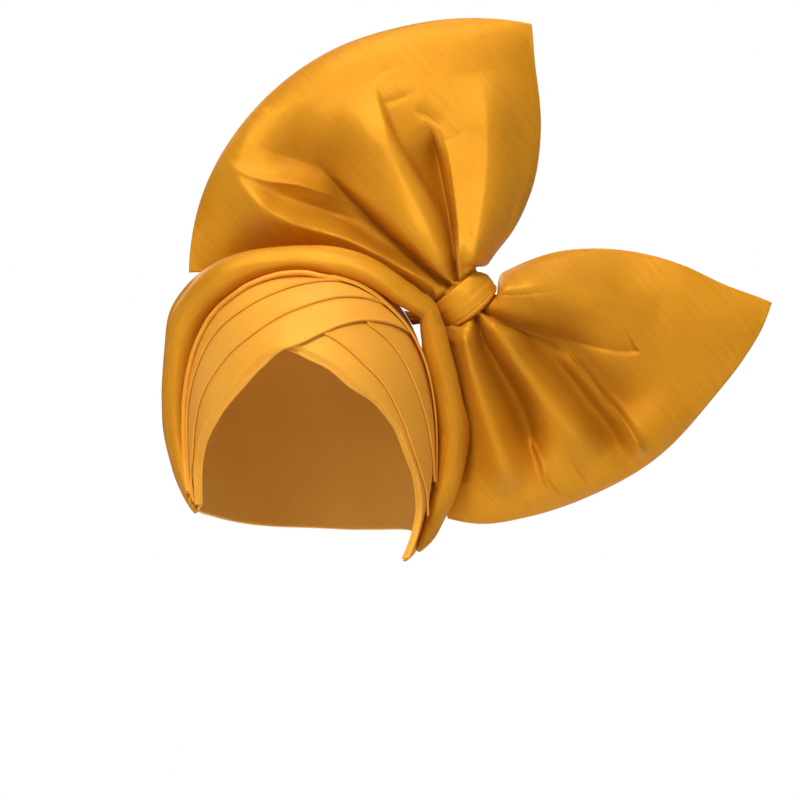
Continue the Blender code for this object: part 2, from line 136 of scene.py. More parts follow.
# %% Floor
FLOOR_LEVEL = -0.36
FLOOR_HALF = 12
floor_mesh = bpy.data.meshes.new("floor")
floor_mesh.from_pydata([(x * FLOOR_HALF, y * FLOOR_HALF, FLOOR_LEVEL)
                        for x, y in ((-1, -1), (1, -1), (1, 1), (-1, 1))], [], [(0, 1, 2, 3)])
floor_paint = bpy.data.materials.new("floor_paint")
floor_paint.use_nodes = True
paint = floor_paint.node_tree
matt = paint.nodes["Principled BSDF"]
matt.inputs["Base Color"].default_value = (0.9, 0.9, 0.9, 1)
matt.inputs["Roughness"].default_value = 0.8
white_to_the_camera(paint, matt, paint.nodes.new("ShaderNodeEmission"), "Material Output")
floor_mesh.materials.append(floor_paint)
show("floor", floor_mesh)
print("floor level, m:", FLOOR_LEVEL)

# %% [markdown]
# ## The shape that everything lies on
# The cap is a dome that is a little squarer than an egg. Every pleat is placed on it by two angles:
# roll turns from straight up towards the bow, and lean runs from the middle of the front over to the
# middle of the back. These are the solids' own rules and sizes, written for whole arrays of points.

# %% The dome
INSIDE_WIDTH = 0.145
INSIDE_DEPTH = 0.188
CROWN_HEIGHT = 0.100
HEM_REACH = 0.158
CAP_WALL = 0.002
SQUARENESS = 2.3
HALF_WIDTH = INSIDE_WIDTH / 2 + CAP_WALL
HALF_DEPTH = INSIDE_DEPTH / 2 + CAP_WALL
RISE = CROWN_HEIGHT + CAP_WALL
FALL = HEM_REACH + CAP_WALL
CENTRE = np.array([0, 0, -CROWN_HEIGHT])


def outward(points):
    """The dome's outward directions at points on it."""
    x, y, z = points[..., 0], points[..., 1], points[..., 2] + CROWN_HEIGHT
    tall = np.where(z > 0, RISE, FALL)
    total = np.abs(x / HALF_WIDTH) ** SQUARENESS + np.abs(z / tall) ** SQUARENESS
    scale = np.maximum(total, 1e-9) ** (2 / SQUARENESS - 1)
    slope_x = scale * np.sign(x) * np.abs(x / HALF_WIDTH) ** (SQUARENESS - 1) / HALF_WIDTH
    slope_z = scale * np.sign(z) * np.abs(z / tall) ** (SQUARENESS - 1) / tall
    slope = np.stack([slope_x, y / HALF_DEPTH ** 2, slope_z], -1)
    return slope / np.linalg.norm(slope, axis=-1, keepdims=True)


def over_cap(roll, lean, height=0.0):
    """Points at a height over the dome."""
    roll, lean, height = np.broadcast_arrays(
        np.asarray(roll, float), np.asarray(lean, float), np.asarray(height, float))
    side = np.sin(np.radians(roll))
    up = np.cos(np.radians(roll))
    ring = (np.abs(side) ** SQUARENESS + np.abs(up) ** SQUARENESS) ** (1 / SQUARENESS)
    spread = np.sin(np.radians(lean)) / ring
    tall = np.where(up > 0, RISE, FALL)
    foot = np.stack([HALF_WIDTH * spread * side, -HALF_DEPTH * np.cos(np.radians(lean)),
                     -CROWN_HEIGHT + tall * spread * up], -1)
    return foot + outward(foot) * height[..., None]


def dome_towards(direction):
    """The dome's points in these directions from its centre."""
    tall = np.where(direction[..., 2] > 0, RISE, FALL)
    total = (np.abs(direction[..., 0] / HALF_WIDTH) ** SQUARENESS
             + np.abs(direction[..., 2] / tall) ** SQUARENESS)
    size = np.sqrt(total ** (2 / SQUARENESS) + (direction[..., 1] / HALF_DEPTH) ** 2)
    return CENTRE + direction / size[..., None]


def along_rows(rows, share):
    """A smooth curve through the rows, read at shares of the way from the first to the last."""
    table = np.array(rows, float)
    place = np.clip(np.asarray(share, float), 0, 1) * (len(rows) - 1)
    index = np.minimum(place.astype(int), len(rows) - 2)
    t = (place - index)[..., None]
    p = table[np.maximum(index - 1, 0)]
    q = table[index]
    r = table[index + 1]
    s = table[np.minimum(index + 2, len(rows) - 1)]
    return (2 * q + (r - p) * t + (2 * p - 5 * q + 4 * r - s) * t ** 2 + (3 * q - p - 3 * r + s) * t ** 3) / 2


def smooth_step(value):
    """Rises gently from 0 to 1 as the value does, and stays level outside."""
    value = np.clip(value, 0, 1)
    return value * value * (3 - 2 * value)


print("dome, mm:", round(2000 * HALF_WIDTH), "wide,", round(2000 * HALF_DEPTH), "deep")


# %% [markdown]
# ## Unevenness that is the same at every run
# Cloth is never perfectly even. A lattice of fixed pseudo-random numbers, blended smoothly between
# its points, gives soft bumps of any size. The seed fixes them, so each run gives the same folds.

# %% Even noise
def lattice(cell, seed):
    """A fixed pseudo-random number from -1 to 1 for each whole-number cell."""
    mixed = (cell[..., 0] * 73856093) ^ (cell[..., 1] * 19349663) ^ (cell[..., 2] * 83492791) ^ (seed * 2654435)
    mixed = (mixed ^ (mixed >> 13)) * 1274126177
    mixed = mixed ^ (mixed >> 16)
    return (mixed & 0xFFFF) / 32767.5 - 1


def unevenness(points, size, seed=1):
    """Smooth values from -1 to 1 that change over this size, in the points' own unit."""
    scaled = points / size
    cell = np.floor(scaled).astype(np.int64)
    part = scaled - cell
    part = part ** 3 * (part * (part * 6 - 15) + 10)
    total = 0
    for step in np.ndindex(2, 2, 2):
        weight = np.prod(np.where(np.array(step) == 1, part, 1 - part), -1)
        total = total + weight * lattice(cell + np.array(step), seed)
    return total


def waves(share, along, count, seed):
    """Folds that run one way: fine across share, long along the other measure."""
    first, second = np.broadcast_arrays(share * count, along)
    return unevenness(np.stack([first, second, np.zeros_like(first)], -1), 1.0, seed)


def drape(points):
    """The slow rise and fall that all the layers on the cap share, in metres."""
    return 0.0005 * unevenness(points, 0.03, 7)


print("one bump, the same at each run:", round(float(unevenness(np.array([0.1, 0.2, 0.3]), 1.0)), 4))


# %% [markdown]
# ## From rows of points to a piece of cloth
# Each piece is a grid: rows run along the piece and columns across it. A ring of columns closes the
# cloth round its own thickness, so the piece has a real edge. The map of the cloth is in metres, so
# that the weave has one scale on every piece.

# %% Grid pieces
def cloth_object(name, rows, chart, materials, node=None, ends=False, strips=(),
                 depth=None):
    """A closed piece from rows of points whose last column joins the first. chart is its flat map.

    ends closes the first and last rows with a face each, and strips are further faces. depth is
    from 0 to 1 at each point, and says how much painted shade the colour takes there, for cloth deep
    in a fold.
    """
    count, columns = rows.shape[:2]
    index = np.arange(count * columns).reshape(count, columns)
    index = np.concatenate([index, index[:, :1]], 1)
    quads = np.stack([index[:-1, :-1], index[:-1, 1:], index[1:, 1:], index[1:, :-1]], -1)
    corner_map = np.stack([chart[:-1, :-1], chart[:-1, 1:], chart[1:, 1:], chart[1:, :-1]], -2)
    faces = quads.reshape(-1, 4).tolist()
    maps = [corner_map.reshape(-1, 2)]
    flat_chart = chart[:, :-1].reshape(-1, 2)
    extra = [list(strip) for strip in strips]
    if ends:
        extra += [index[0, :-1][::-1].tolist(), index[-1, :-1].tolist()]
    for face in extra:
        faces.append(face)
        maps.append(flat_chart[face])
    mesh = bpy.data.meshes.new(name)
    mesh.from_pydata(rows.reshape(-1, 3).tolist(), [], faces)
    layer = mesh.uv_layers.new(name="cloth_map")
    layer.data.foreach_set("uv", np.concatenate(maps).astype(np.float32).ravel())
    # Painted shade: each point's share of the darker, warmer fold colour, kept as an attribute.
    if depth is not None:
        fold_shade_paint = mesh.attributes.new("painted_shade_share", "FLOAT", "POINT")
        fold_shade_paint.data.foreach_set("value", depth.astype(np.float32).ravel())
    for material in materials:
        mesh.materials.append(material)
    bm = bmesh.new()
    bm.from_mesh(mesh)
    bmesh.ops.recalc_face_normals(bm, faces=bm.faces)
    bm.to_mesh(mesh)
    bm.free()
    mesh.shade_smooth()
    piece = show(name, mesh)
    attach(piece, "root")
    if node:
        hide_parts(node)
    print(f"{name}: {len(mesh.polygons)} faces")
    return piece


def measured_chart(rows):
    """A flat map of a grid from its own mean lengths, in metres."""
    full = np.concatenate([rows, rows[:, :1]], 1)
    across = np.linalg.norm(np.diff(full, axis=1), axis=-1).mean(0)
    along = np.linalg.norm(np.diff(full, axis=0), axis=-1).mean(1)
    u = np.concatenate([[0], np.cumsum(across)])
    v = np.concatenate([[0], np.cumsum(along)])
    return np.stack(np.broadcast_arrays(u[None, :], v[:, None]), -1)


# %% [markdown]
# ## Shot taffeta
# Taffeta is a tight plain weave of silk-like thread. Three things make it read as taffeta: fine
# streaks where a thread is thicker, called slubs, a soft sheen that takes the cloth's own colour,
# and crisp small creases. The first and last are groups of nodes, so that both cloths share them.

# %% Node helpers
def new_group(name, inputs, outputs):
    """An empty shader group with these sockets, and its input and output nodes."""
    tree = bpy.data.node_groups.new(name, "ShaderNodeTree")
    for title, kind, value in inputs:
        socket = tree.interface.new_socket(title, in_out="INPUT", socket_type=kind)
        if value is not None:
            socket.default_value = value
    for title, kind in outputs:
        tree.interface.new_socket(title, in_out="OUTPUT", socket_type=kind)
    return tree, tree.nodes.new("NodeGroupInput"), tree.nodes.new("NodeGroupOutput")


def math_node(tree, operation, first, second, clamp=False):
    """A sum of two sockets or numbers. It gives its output socket."""
    return add(tree, "ShaderNodeMath", {0: first, 1: second}, operation=operation, use_clamp=clamp).outputs[0]


def noise_node(tree, vector, scale, detail, roughness):
    """A noise texture. It gives its grey output."""
    return add(tree, "ShaderNodeTexNoise", {"Vector": vector, "Scale": scale, "Detail": detail,
                                            "Roughness": roughness}).outputs["Fac"]


# %% Slubs and weave
WEFT_SHARE = 0.88
# Columns: name, streaks to the metre across the cloth, and along it
STREAKS = [("warp", 900.0, 16.0), ("weft", 26.0, 1300.0)]


def make_slub_weave():
    """Reads the cloth's map in metres. Height is the thread relief and Tone the streaks' lightness."""
    tree, start, end = new_group(
        "slub_weave",
        [("Vector", "NodeSocketVector", None), ("Thread", "NodeSocketFloat", 0.0006),
         ("Slub", "NodeSocketFloat", 1.0)],
        [("Height", "NodeSocketFloat"), ("Tone", "NodeSocketFloat")])
    split = add(tree, "ShaderNodeSeparateXYZ", {0: start.outputs["Vector"]})
    warp, weft = [
        noise_node(tree, add(tree, "ShaderNodeCombineXYZ", {
            "X": math_node(tree, "MULTIPLY", split.outputs["X"], across),
            "Y": math_node(tree, "MULTIPLY", split.outputs["Y"], along)}, label=name).outputs[0], 1.0, 3.0, 0.6)
        for name, across, along in STREAKS]
    turn = math_node(tree, "DIVIDE", math.tau, start.outputs["Thread"])
    waves_x, waves_y = [add(tree, "ShaderNodeMath", {0: math_node(tree, "MULTIPLY", split.outputs[axis], turn)},
                            operation="SINE").outputs[0] for axis in "XY"]
    weave = math_node(tree, "MULTIPLY", waves_x, waves_y)
    mixed = math_node(tree, "ADD", math_node(tree, "MULTIPLY", warp, 1 - WEFT_SHARE),
                      math_node(tree, "MULTIPLY", weft, WEFT_SHARE))
    tone = math_node(tree, "MULTIPLY", math_node(tree, "SUBTRACT", mixed, 0.5), start.outputs["Slub"])
    height = math_node(tree, "ADD", math_node(tree, "MULTIPLY", weave, 0.25), tone)
    tree.links.new(height, end.inputs["Height"])
    tree.links.new(math_node(tree, "ADD", tone, 0.5), end.inputs["Tone"])
    return tree


# %% Creases
def make_crisp_creases():
    """Soft flats that meet at crisp lines, as crumpled taffeta shows. Height is from 0 to 1."""
    tree, start, end = new_group(
        "crisp_creases",
        [("Vector", "NodeSocketVector", None), ("Size", "NodeSocketFloat", 0.03)],
        [("Height", "NodeSocketFloat"), ("Patch", "NodeSocketFloat")])
    place = start.outputs["Vector"]
    scale = math_node(tree, "DIVIDE", 1.0, start.outputs["Size"])
    bend = add(tree, "ShaderNodeTexNoise", {"Vector": place, "Scale": scale})
    bent = add(tree, "ShaderNodeVectorMath", {0: bend.outputs["Color"], 1: (0.02, 0.02, 0.02), 2: place},
               operation="MULTIPLY_ADD")
    cells = add(tree, "ShaderNodeTexVoronoi", {"Smoothness": 0.35, "Vector": bent.outputs[0], "Scale": scale},
                feature="SMOOTH_F1")
    soft = noise_node(tree, place, math_node(tree, "MULTIPLY", scale, 0.6), 2.0, 0.5)
    height = math_node(tree, "ADD", math_node(tree, "MULTIPLY", cells.outputs["Distance"], 0.7),
                       math_node(tree, "MULTIPLY", soft, 0.6))
    tree.links.new(height, end.inputs["Height"])
    tree.links.new(soft, end.inputs["Patch"])
    return tree


slub_weave = make_slub_weave()
crisp_creases = make_crisp_creases()
print("groups:", slub_weave.name, "and", crisp_creases.name)


# %% [markdown]
# ## The cloths
# Shot cloth has warp and weft of two colours, here gold and orange. The sheen socket carries the
# orange, so it shows where the cloth turns away. The base colour changes a little with the slubs.
# It is also painted warmer and darker where the mesh says that the cloth lies deep in a fold, on the
# wings and over the whole gathered scrap: that is painted shade, standing in for shadow in the folds.

# %% Taffeta materials
SHINE = 0.22
SHINE_TINT = (1.0, 0.72, 0.35, 1)
ROUGHNESS_SPREAD = 0.16
PATCH_STRENGTH = 0.9
# Painted shade in deep folds: how far the colour goes towards a dark warm brown, and that brown.
PAINTED_SHADE_STRENGTH = 0.68
PAINTED_SHADE_COLOUR = (0.33, 0.098, 0.001, 1)


def taffeta(name, dyes, roughness, metal, sheen, crease, slub, weave_bump, use_object=False):
    """A shot taffeta. dyes are the two colours between which the streaks and patches move.

    sheen is its weight and tint, crease the size and height of the creases in metres, slub the
    strength of the streaks, and weave_bump the height of the threads in metres.
    """
    material = bpy.data.materials.new(name)
    material.use_nodes = True
    tree = material.node_tree
    shader = tree.nodes["Principled BSDF"]
    place = tree.nodes.new("ShaderNodeTexCoord").outputs
    weave = add(tree, "ShaderNodeGroup", {"Slub": slub, "Vector": place["Object" if use_object else "UV"]},
                node_tree=slub_weave)
    creases = add(tree, "ShaderNodeGroup", {"Size": crease[0], "Vector": place["Object"]},
                  node_tree=crisp_creases)
    centred = math_node(tree, "SUBTRACT", creases.outputs["Patch"], 0.5)
    patch = math_node(tree, "MULTIPLY", centred, PATCH_STRENGTH)
    blend = math_node(tree, "ADD", weave.outputs["Tone"], patch, clamp=True)
    colour = add(tree, "ShaderNodeMix", {"Factor": blend, "A": (*dyes[0], 1), "B": (*dyes[1], 1)},
                 data_type="RGBA")
    # Painted shade: where the mesh marks cloth deep in a fold, the colour is mixed towards the dark warm brown.
    fold = add(tree, "ShaderNodeAttribute", {}, attribute_name="painted_shade_share")
    fold_shade_paint = add(tree, "ShaderNodeMix",
                  {"Factor": math_node(tree, "MULTIPLY", fold.outputs["Fac"], PAINTED_SHADE_STRENGTH),
                   "A": colour.outputs["Result"], "B": PAINTED_SHADE_COLOUR}, data_type="RGBA")
    tree.links.new(fold_shade_paint.outputs["Result"], shader.inputs["Base Color"])
    rough = math_node(tree, "ADD", math_node(tree, "MULTIPLY", weave.outputs["Tone"], ROUGHNESS_SPREAD),
                      roughness - ROUGHNESS_SPREAD / 2)
    tree.links.new(rough, shader.inputs["Roughness"])
    for title, value in (("Metallic", metal), ("Specular IOR Level", SHINE), ("Specular Tint", SHINE_TINT),
                         ("Sheen Weight", sheen[0]), ("Sheen Roughness", 0.35), ("Sheen Tint", (*sheen[1], 1))):
        shader.inputs[title].default_value = value
    broad = add(tree, "ShaderNodeBump",
                {"Strength": 1.0, "Distance": crease[1], "Height": creases.outputs["Height"]})
    fine = add(tree, "ShaderNodeBump",
               {"Strength": 1.0, "Distance": weave_bump, "Height": weave.outputs["Height"],
                "Normal": broad.outputs["Normal"]})
    tree.links.new(fine.outputs["Normal"], shader.inputs["Normal"])
    return material


# %% The cloths and the thread
BOW_DYES = ((0.52, 0.188, 0.006), (0.78, 0.340, 0.020))
CAP_DYES = ((0.72, 0.295, 0.024), (0.87, 0.41, 0.052))
LINING_DYES = ((0.60, 0.27, 0.035), (0.72, 0.36, 0.06))
CAP_SHEEN = (0.10, (1.0, 0.45, 0.10))
bow_taffeta = taffeta("bow_taffeta", BOW_DYES, roughness=0.34, metal=0.24, sheen=(0.12, (1.0, 0.45, 0.08)),
                      crease=(0.050, 0.0012), slub=1.2, weave_bump=0.00014)
cap_taffeta = taffeta("cap_taffeta", CAP_DYES, roughness=0.50, metal=0.10, sheen=CAP_SHEEN,
                      crease=(0.030, 0.0003), slub=0.6, weave_bump=0.00005)
fold_taffeta = taffeta("fold_taffeta", CAP_DYES, roughness=0.50, metal=0.10, sheen=CAP_SHEEN,
                       crease=(0.020, 0.0003), slub=0.6, weave_bump=0.00005, use_object=True)
cap_lining = taffeta("cap_lining", LINING_DYES, roughness=0.62, metal=0.0, sheen=(0.05, (1.0, 0.6, 0.2)),
                     crease=(0.030, 0.0003), slub=0.5, weave_bump=0.00005)
thread_dye = bpy.data.materials.new("sewing_thread")
thread_dye.use_nodes = True
thread_shader = thread_dye.node_tree.nodes["Principled BSDF"]
thread_shader.inputs["Base Color"].default_value = (0.55, 0.24, 0.02, 1)
thread_shader.inputs["Roughness"].default_value = 0.5
print("cloths:", bow_taffeta.name, cap_taffeta.name, fold_taffeta.name, cap_lining.name)

# %% [markdown]
# ## The cap
# The cap is one thin dome of cloth with a lining. Its edge goes up one side of the front opening,
# down the other side, and round the low hem behind. Lines are drawn from the back of the crown to
# that edge, so that the grid is dense at the edge and has one pole where nobody looks.

# %% Edges of the pleats and of the cap
# Columns: roll, lean, in degrees. A left edge begins at its low end, and a right edge ends at its low end.
LEFT_EDGE_1 = [(-108, 68), (-100, 64), (-95, 59), (-85, 47), (-61, 33), (-19, 28), (12, 33), (37, 47),
               (52, 62)]
LEFT_EDGE_2 = [(-107, 69.5), (-101, 70), (-96, 66), (-79, 58), (-58, 47), (-36, 41), (-8, 43), (20, 51),
               (37, 59)]
LEFT_EDGE_3 = [(-106, 72), (-101, 75), (-90, 76), (-74, 72), (-49, 60), (-35, 55), (-12, 54), (15, 57)]
LEFT_EDGE_4 = [(-104.5, 75.5), (-98, 81.5), (-81, 83), (-67, 81), (-48, 74), (-36, 68), (-11, 63), (15, 60)]
RIGHT_EDGE_1 = [(-25, 33), (-16, 28), (11, 23), (51, 23), (76, 34), (95, 49), (103, 60), (111, 66),
                (123, 61)]
RIGHT_EDGE_2 = [(6, 37), (14, 33), (46, 32), (73, 40), (91, 49), (99, 57), (105, 67), (110, 72)]
RIGHT_EDGE_3 = [(32, 50), (38, 46), (56, 51), (75, 58), (91, 68), (98, 75), (102, 78)]
RIGHT_EDGE_4 = [(46, 60.5), (53, 62), (66, 66), (75, 70), (87, 76), (97, 79), (102, 80)]
# Columns: heading round the cap, dip below level, in degrees
HEM_ROWS = [(197, -34), (180, -36), (135, -37), (90, -37), (45, -40), (0, -46), (-20, -46)]
CROWN_DIRECTION = np.array([0, 0.8, 0.6])
EDGE_SETBACK = 3


def cap_edge(face_steps, hem_steps):
    """Points round the cap's edge."""
    share = np.linspace(0, 1, face_steps)
    left = along_rows(LEFT_EDGE_1[:6], share)
    right = along_rows(RIGHT_EDGE_1[1:], share)[1:]
    hem = along_rows(HEM_ROWS[::-1], np.linspace(0, 1, hem_steps + 1)[1:-1])
    heading, dip = np.radians(hem[:, 0]), np.radians(hem[:, 1])
    towards = np.stack([np.cos(heading) * np.cos(dip), np.sin(heading) * np.cos(dip), np.sin(dip)], -1)
    return np.concatenate([over_cap(left[:, 0], left[:, 1] + EDGE_SETBACK),
                           over_cap(right[:, 0], right[:, 1] + EDGE_SETBACK),
                           dome_towards(towards)])


print("points in the tables of edges:", sum(len(edge) for edge in (
    LEFT_EDGE_1, LEFT_EDGE_2, LEFT_EDGE_3, LEFT_EDGE_4,
    RIGHT_EDGE_1, RIGHT_EDGE_2, RIGHT_EDGE_3, RIGHT_EDGE_4)))


# %% The cap's outer cloth and lining
CAP_RINGS = 110
HEM_STEPS = 150
HEM_DEPTH = 0.012
HEM_RISE = 0.0007
CAP_GATHER = 0.0006
edge_points = cap_edge(90, HEM_STEPS)
edge_towards = edge_points - CENTRE
edge_towards /= np.linalg.norm(edge_towards, axis=-1, keepdims=True)
turn_to_edge = np.arccos(edge_towards @ CROWN_DIRECTION)
ring_share = np.concatenate([[0.004], np.linspace(0.012, 1, CAP_RINGS)])[:, None]
towards = (np.sin((1 - ring_share) * turn_to_edge)[..., None] * CROWN_DIRECTION
           + np.sin(ring_share * turn_to_edge)[..., None] * edge_towards) / np.sin(turn_to_edge)[None, :, None]
cap_face = dome_towards(towards)
cap_normal = outward(cap_face)
to_edge = np.linalg.norm(cap_face - edge_points[None], axis=-1)
behind = smooth_step((cap_face[..., 1] - 0.012) / 0.02)
hem_step = HEM_RISE * (1 - smooth_step((to_edge - HEM_DEPTH) / 0.0012)) * behind
gathers = CAP_GATHER * np.abs(unevenness(np.stack(
    [np.arctan2(cap_face[..., 0], cap_face[..., 1]) * 9, to_edge * 22, np.zeros_like(to_edge)], -1), 1.0, 3))
outer = cap_face + cap_normal * (hem_step + gathers * behind + drape(cap_face) * behind)[..., None]
inner = cap_face - cap_normal * CAP_WALL
rows = np.concatenate([outer, inner[::-1]])
cap = cloth_object("gele_cap", rows, measured_chart(rows), (cap_taffeta, cap_lining), node="cap",
                   ends=True)
ring_of_face = np.repeat(np.arange(len(rows) - 1), rows.shape[1])
inside = np.concatenate([(ring_of_face > CAP_RINGS).astype(np.int32), [0, 1]])
cap.data.polygons.foreach_set("material_index", inside.astype(np.int32))

# %% [markdown]
# ## The pleats
# Each pleat is a folded band. Its front is a rounded fold that stands on the band before it, and its
# rear slips under the band behind. The profile is drawn once, round nose first, and follows both
# edges of the band. All bands share the cap's slow rise and fall, so they never cut each other.

# %% Pleat sizes
PLEAT_CLOTH = 0.0010
LAYER_GAP = 0.0003
PLEAT_TUCK = 0.22
BASE = 0.0022
LOW = BASE
HIGH = LOW + PLEAT_CLOTH + LAYER_GAP
CROSSING = HIGH + PLEAT_CLOTH + LAYER_GAP
NOSE_STEPS = 9
BAND_ROWS = 220
TAPER_SHARE = 0.14
BRIM_DROP = 0.0032
BRIM_SHARE = 0.22
print("layers above the cap, mm:", [round(1000 * level, 2) for level in (LOW, HIGH, CROSSING)])


# %% One pleat
def make_pleat(name, node, side, front, rear, beyond, flat_m, front_height=HIGH, crossing=0.0, brim=False,
               stretch=None):
    """One folded band. brim turns its front fold down round the cap's edge."""
    share = np.linspace(0, 1, BAND_ROWS)[:, None]
    edge_0 = along_rows(front, share[:, 0])[:, None]
    edge_1 = along_rows(rear, share[:, 0])[:, None]
    if stretch:
        end_roll, end_lean = stretch
        late = smooth_step((share - 0.8) / 0.2)
        edge_0 = edge_0 + late[..., None] * np.array([end_roll, end_lean])
        edge_1 = edge_1 + late[..., None] * np.array([end_roll, end_lean])
    width = np.abs(edge_1[..., 1] - edge_0[..., 1])
    tuck = np.zeros_like(width)
    if beyond:
        following = np.abs(along_rows(beyond, share[:, 0])[:, None][..., 1] - edge_1[..., 1])
        tuck = PLEAT_TUCK * np.minimum(1.0, following / width)
    over = smooth_step((edge_0[..., 0] + 45) / 25)
    rise = crossing * over
    from_low_end = 1 - share if side == "right" else share
    pointed = 0.2 + 0.8 * smooth_step(from_low_end / TAPER_SHARE)

    def at(station, lift):
        """Points of the band at a station across it and a height over its underside."""
        spread_out = station * (1 + tuck * smooth_step((station - 0.8) / 0.2)) * pointed
        roll = edge_0[..., 0] + (edge_1[..., 0] - edge_0[..., 0]) * spread_out
        lean = edge_0[..., 1] + (edge_1[..., 1] - edge_0[..., 1]) * spread_out
        held_up = 1 - np.clip(station, 0, 1)
        height = LOW + (front_height - LOW) * held_up + rise * (1 - smooth_step(station * 0.95)) + lift
        if not beyond:
            height = height - (LOW - LAYER_GAP) * smooth_step((station - 0.8) / 0.2)
        if brim:
            free_edge = 1 - over if side == "left" else np.ones_like(over)
            turned_down = 1 - smooth_step(station / BRIM_SHARE)
            height = height - (BRIM_DROP + front_height - LOW) * free_edge * turned_down
        foot = over_cap(roll, lean)
        return foot + outward(foot) * (height + drape(foot))[..., None]

    radius = PLEAT_CLOTH / 2
    top_stations = np.linspace(0, 1, 40)[None, :] ** 1.5
    roll_of_fold = 0.0005 * np.exp(-(top_stations / 0.06) ** 2)
    top = at(top_stations, PLEAT_CLOTH + roll_of_fold)
    bottom = at(np.linspace(1, 0, 30)[None, :] ** 1.3, 0.0)
    first = at(np.zeros((1, 1)), radius)
    second = at(np.full((1, 1), 0.04), radius)
    forward = first - second
    forward /= np.linalg.norm(forward, axis=-1, keepdims=True)
    up = outward(over_cap(edge_0[..., 0], edge_0[..., 1]))
    up = up - forward * (up * forward).sum(-1, keepdims=True)
    up /= np.linalg.norm(up, axis=-1, keepdims=True)
    angle = np.linspace(-90, 90, NOSE_STEPS)[None, 1:-1, None] * math.pi / 180
    nose = first + forward * np.cos(angle) * radius + up * np.sin(angle) * radius
    rows = np.concatenate([nose, top, bottom], 1)
    piece = cloth_object(name, rows, measured_chart(rows), (cap_taffeta,), node=node, ends=True)
    return piece


# %% All the pleats
UNDER_RIM = 8
UNDER_FOLD = 6
rear_under_rim = [(roll, lean + UNDER_RIM) for roll, lean in RIGHT_EDGE_4]
rear_under_fold = [(roll, lean + UNDER_FOLD) for roll, lean in LEFT_EDGE_4]
left_edges = (LEFT_EDGE_1, LEFT_EDGE_2, LEFT_EDGE_3, rear_under_fold, None)
right_edges = (RIGHT_EDGE_1, RIGHT_EDGE_2, RIGHT_EDGE_3, rear_under_rim, None)
make_pleat("left_band_1", "left_pleat_1", "left", *left_edges[0:3], (0.27, 0.02), crossing=CROSSING - HIGH,
           brim=True, stretch=(2, 2))
make_pleat("left_band_2", "left_pleat_2", "left", *left_edges[1:4], (0.23, 0.02), stretch=(3, 3))
make_pleat("left_band_3", "left_pleat_3", "left", *left_edges[2:5], (0.21, 0.022), stretch=(6, 4))
make_pleat("right_band_1", "right_pleat_1", "right", *right_edges[0:3], (0.26, 0.01), front_height=LOW,
           brim=True)
make_pleat("right_band_2", "right_pleat_2", "right", *right_edges[1:4], (0.20, 0.02))
make_pleat("right_band_3", "right_pleat_3", "right", *right_edges[2:5], (0.14, 0.022))


# %% [markdown]
# ## The rear rim of the right panel
# On the bow's side the ends of the left panel disappear under a narrow folded rim. It runs from the
# crown down to the lower corner, close to the padded roll, and it lies on top of the band ends.

# %% The rim
# Columns: roll, lean of its front fold
RIM_EDGE = [(9, 60.5), (18, 60), (31, 60.5), (42, 61.5), (50, 62.5), (60, 64.5), (72, 68), (82, 72.5),
            (92, 77), (100, 80), (104, 82)]
RIM_WIDTH = 6.5
rim_share = np.linspace(0, 1, 200)[:, None]
rim_edge = along_rows(RIM_EDGE, rim_share[:, 0])[:, None]
rim_station = np.linspace(0, 1, 14)[None, :]
RIM_START, RIM_END = 0.0044, 0.0042
rim_middle = CROSSING + PLEAT_CLOTH + LAYER_GAP
rim_high = (RIM_START + (rim_middle - RIM_START) * smooth_step((rim_share - 0.25) / 0.2)
            - (rim_middle - RIM_END) * smooth_step((rim_share - 0.5) / 0.4))
rim_taper = 0.3 + 0.7 * smooth_step((1 - rim_share) / 0.12) * smooth_step(rim_share / 0.05)


def rim_at(station, lift):
    lean = rim_edge[..., 1] + RIM_WIDTH * rim_taper * station
    foot = over_cap(rim_edge[..., 0], lean)
    height = LAYER_GAP + (rim_high - LAYER_GAP) * (1 - station ** 2) + lift
    return foot + outward(foot) * (height + drape(foot))[..., None]


rim_nose = rim_at(np.full((1, 1), -0.06), PLEAT_CLOTH / 2)
rows = np.concatenate([rim_nose, rim_at(rim_station, PLEAT_CLOTH), rim_at(rim_station[:, ::-1], 0.0)], 1)
rear_rim = cloth_object("right_rear_rim", rows, measured_chart(rows), (cap_taffeta,), ends=True)

# %% [markdown]
# ## The crown fold
# A thin roll of the same cloth closes the left panel. It follows a line over the cap, so Geometry
# Nodes can sweep a small circle along the line. A little waver keeps it from looking like wire.

# %% Trees that follow a path
def begin_path_tree(name, sizes):
    """A Geometry Nodes tree that walks a path at even steps. Its inputs go by their identifiers."""
    tree = bpy.data.node_groups.new(name, "GeometryNodeTree")
    sockets = {}
    new_socket = tree.interface.new_socket
    new_socket("Geometry", in_out="INPUT", socket_type="NodeSocketGeometry")
    for title, value in sizes.items():
        socket = new_socket(title, in_out="INPUT", socket_type="NodeSocketFloat")
        socket.default_value = value
        sockets[title] = socket.identifier
    sockets["Material"] = new_socket("Material", in_out="INPUT", socket_type="NodeSocketMaterial").identifier
    new_socket("Geometry", in_out="OUTPUT", socket_type="NodeSocketGeometry")
    start = tree.nodes.new("NodeGroupInput").outputs
    even = add(tree, "GeometryNodeResampleCurve", {"Curve": start["Geometry"], "Length": start["Spacing"]},
               mode="LENGTH")
    return tree, sockets, start, even.outputs["Curve"]


def end_path_tree(tree, start, shape):
    """Makes real geometry of the instances, gives it the material and sends it out."""
    whole = add(tree, "GeometryNodeRealizeInstances", {"Geometry": shape})
    coloured = add(tree, "GeometryNodeSetMaterial",
                   {"Geometry": whole.outputs["Geometry"], "Material": start["Material"]})
    add(tree, "NodeGroupOutput", {"Geometry": coloured.outputs["Geometry"]})


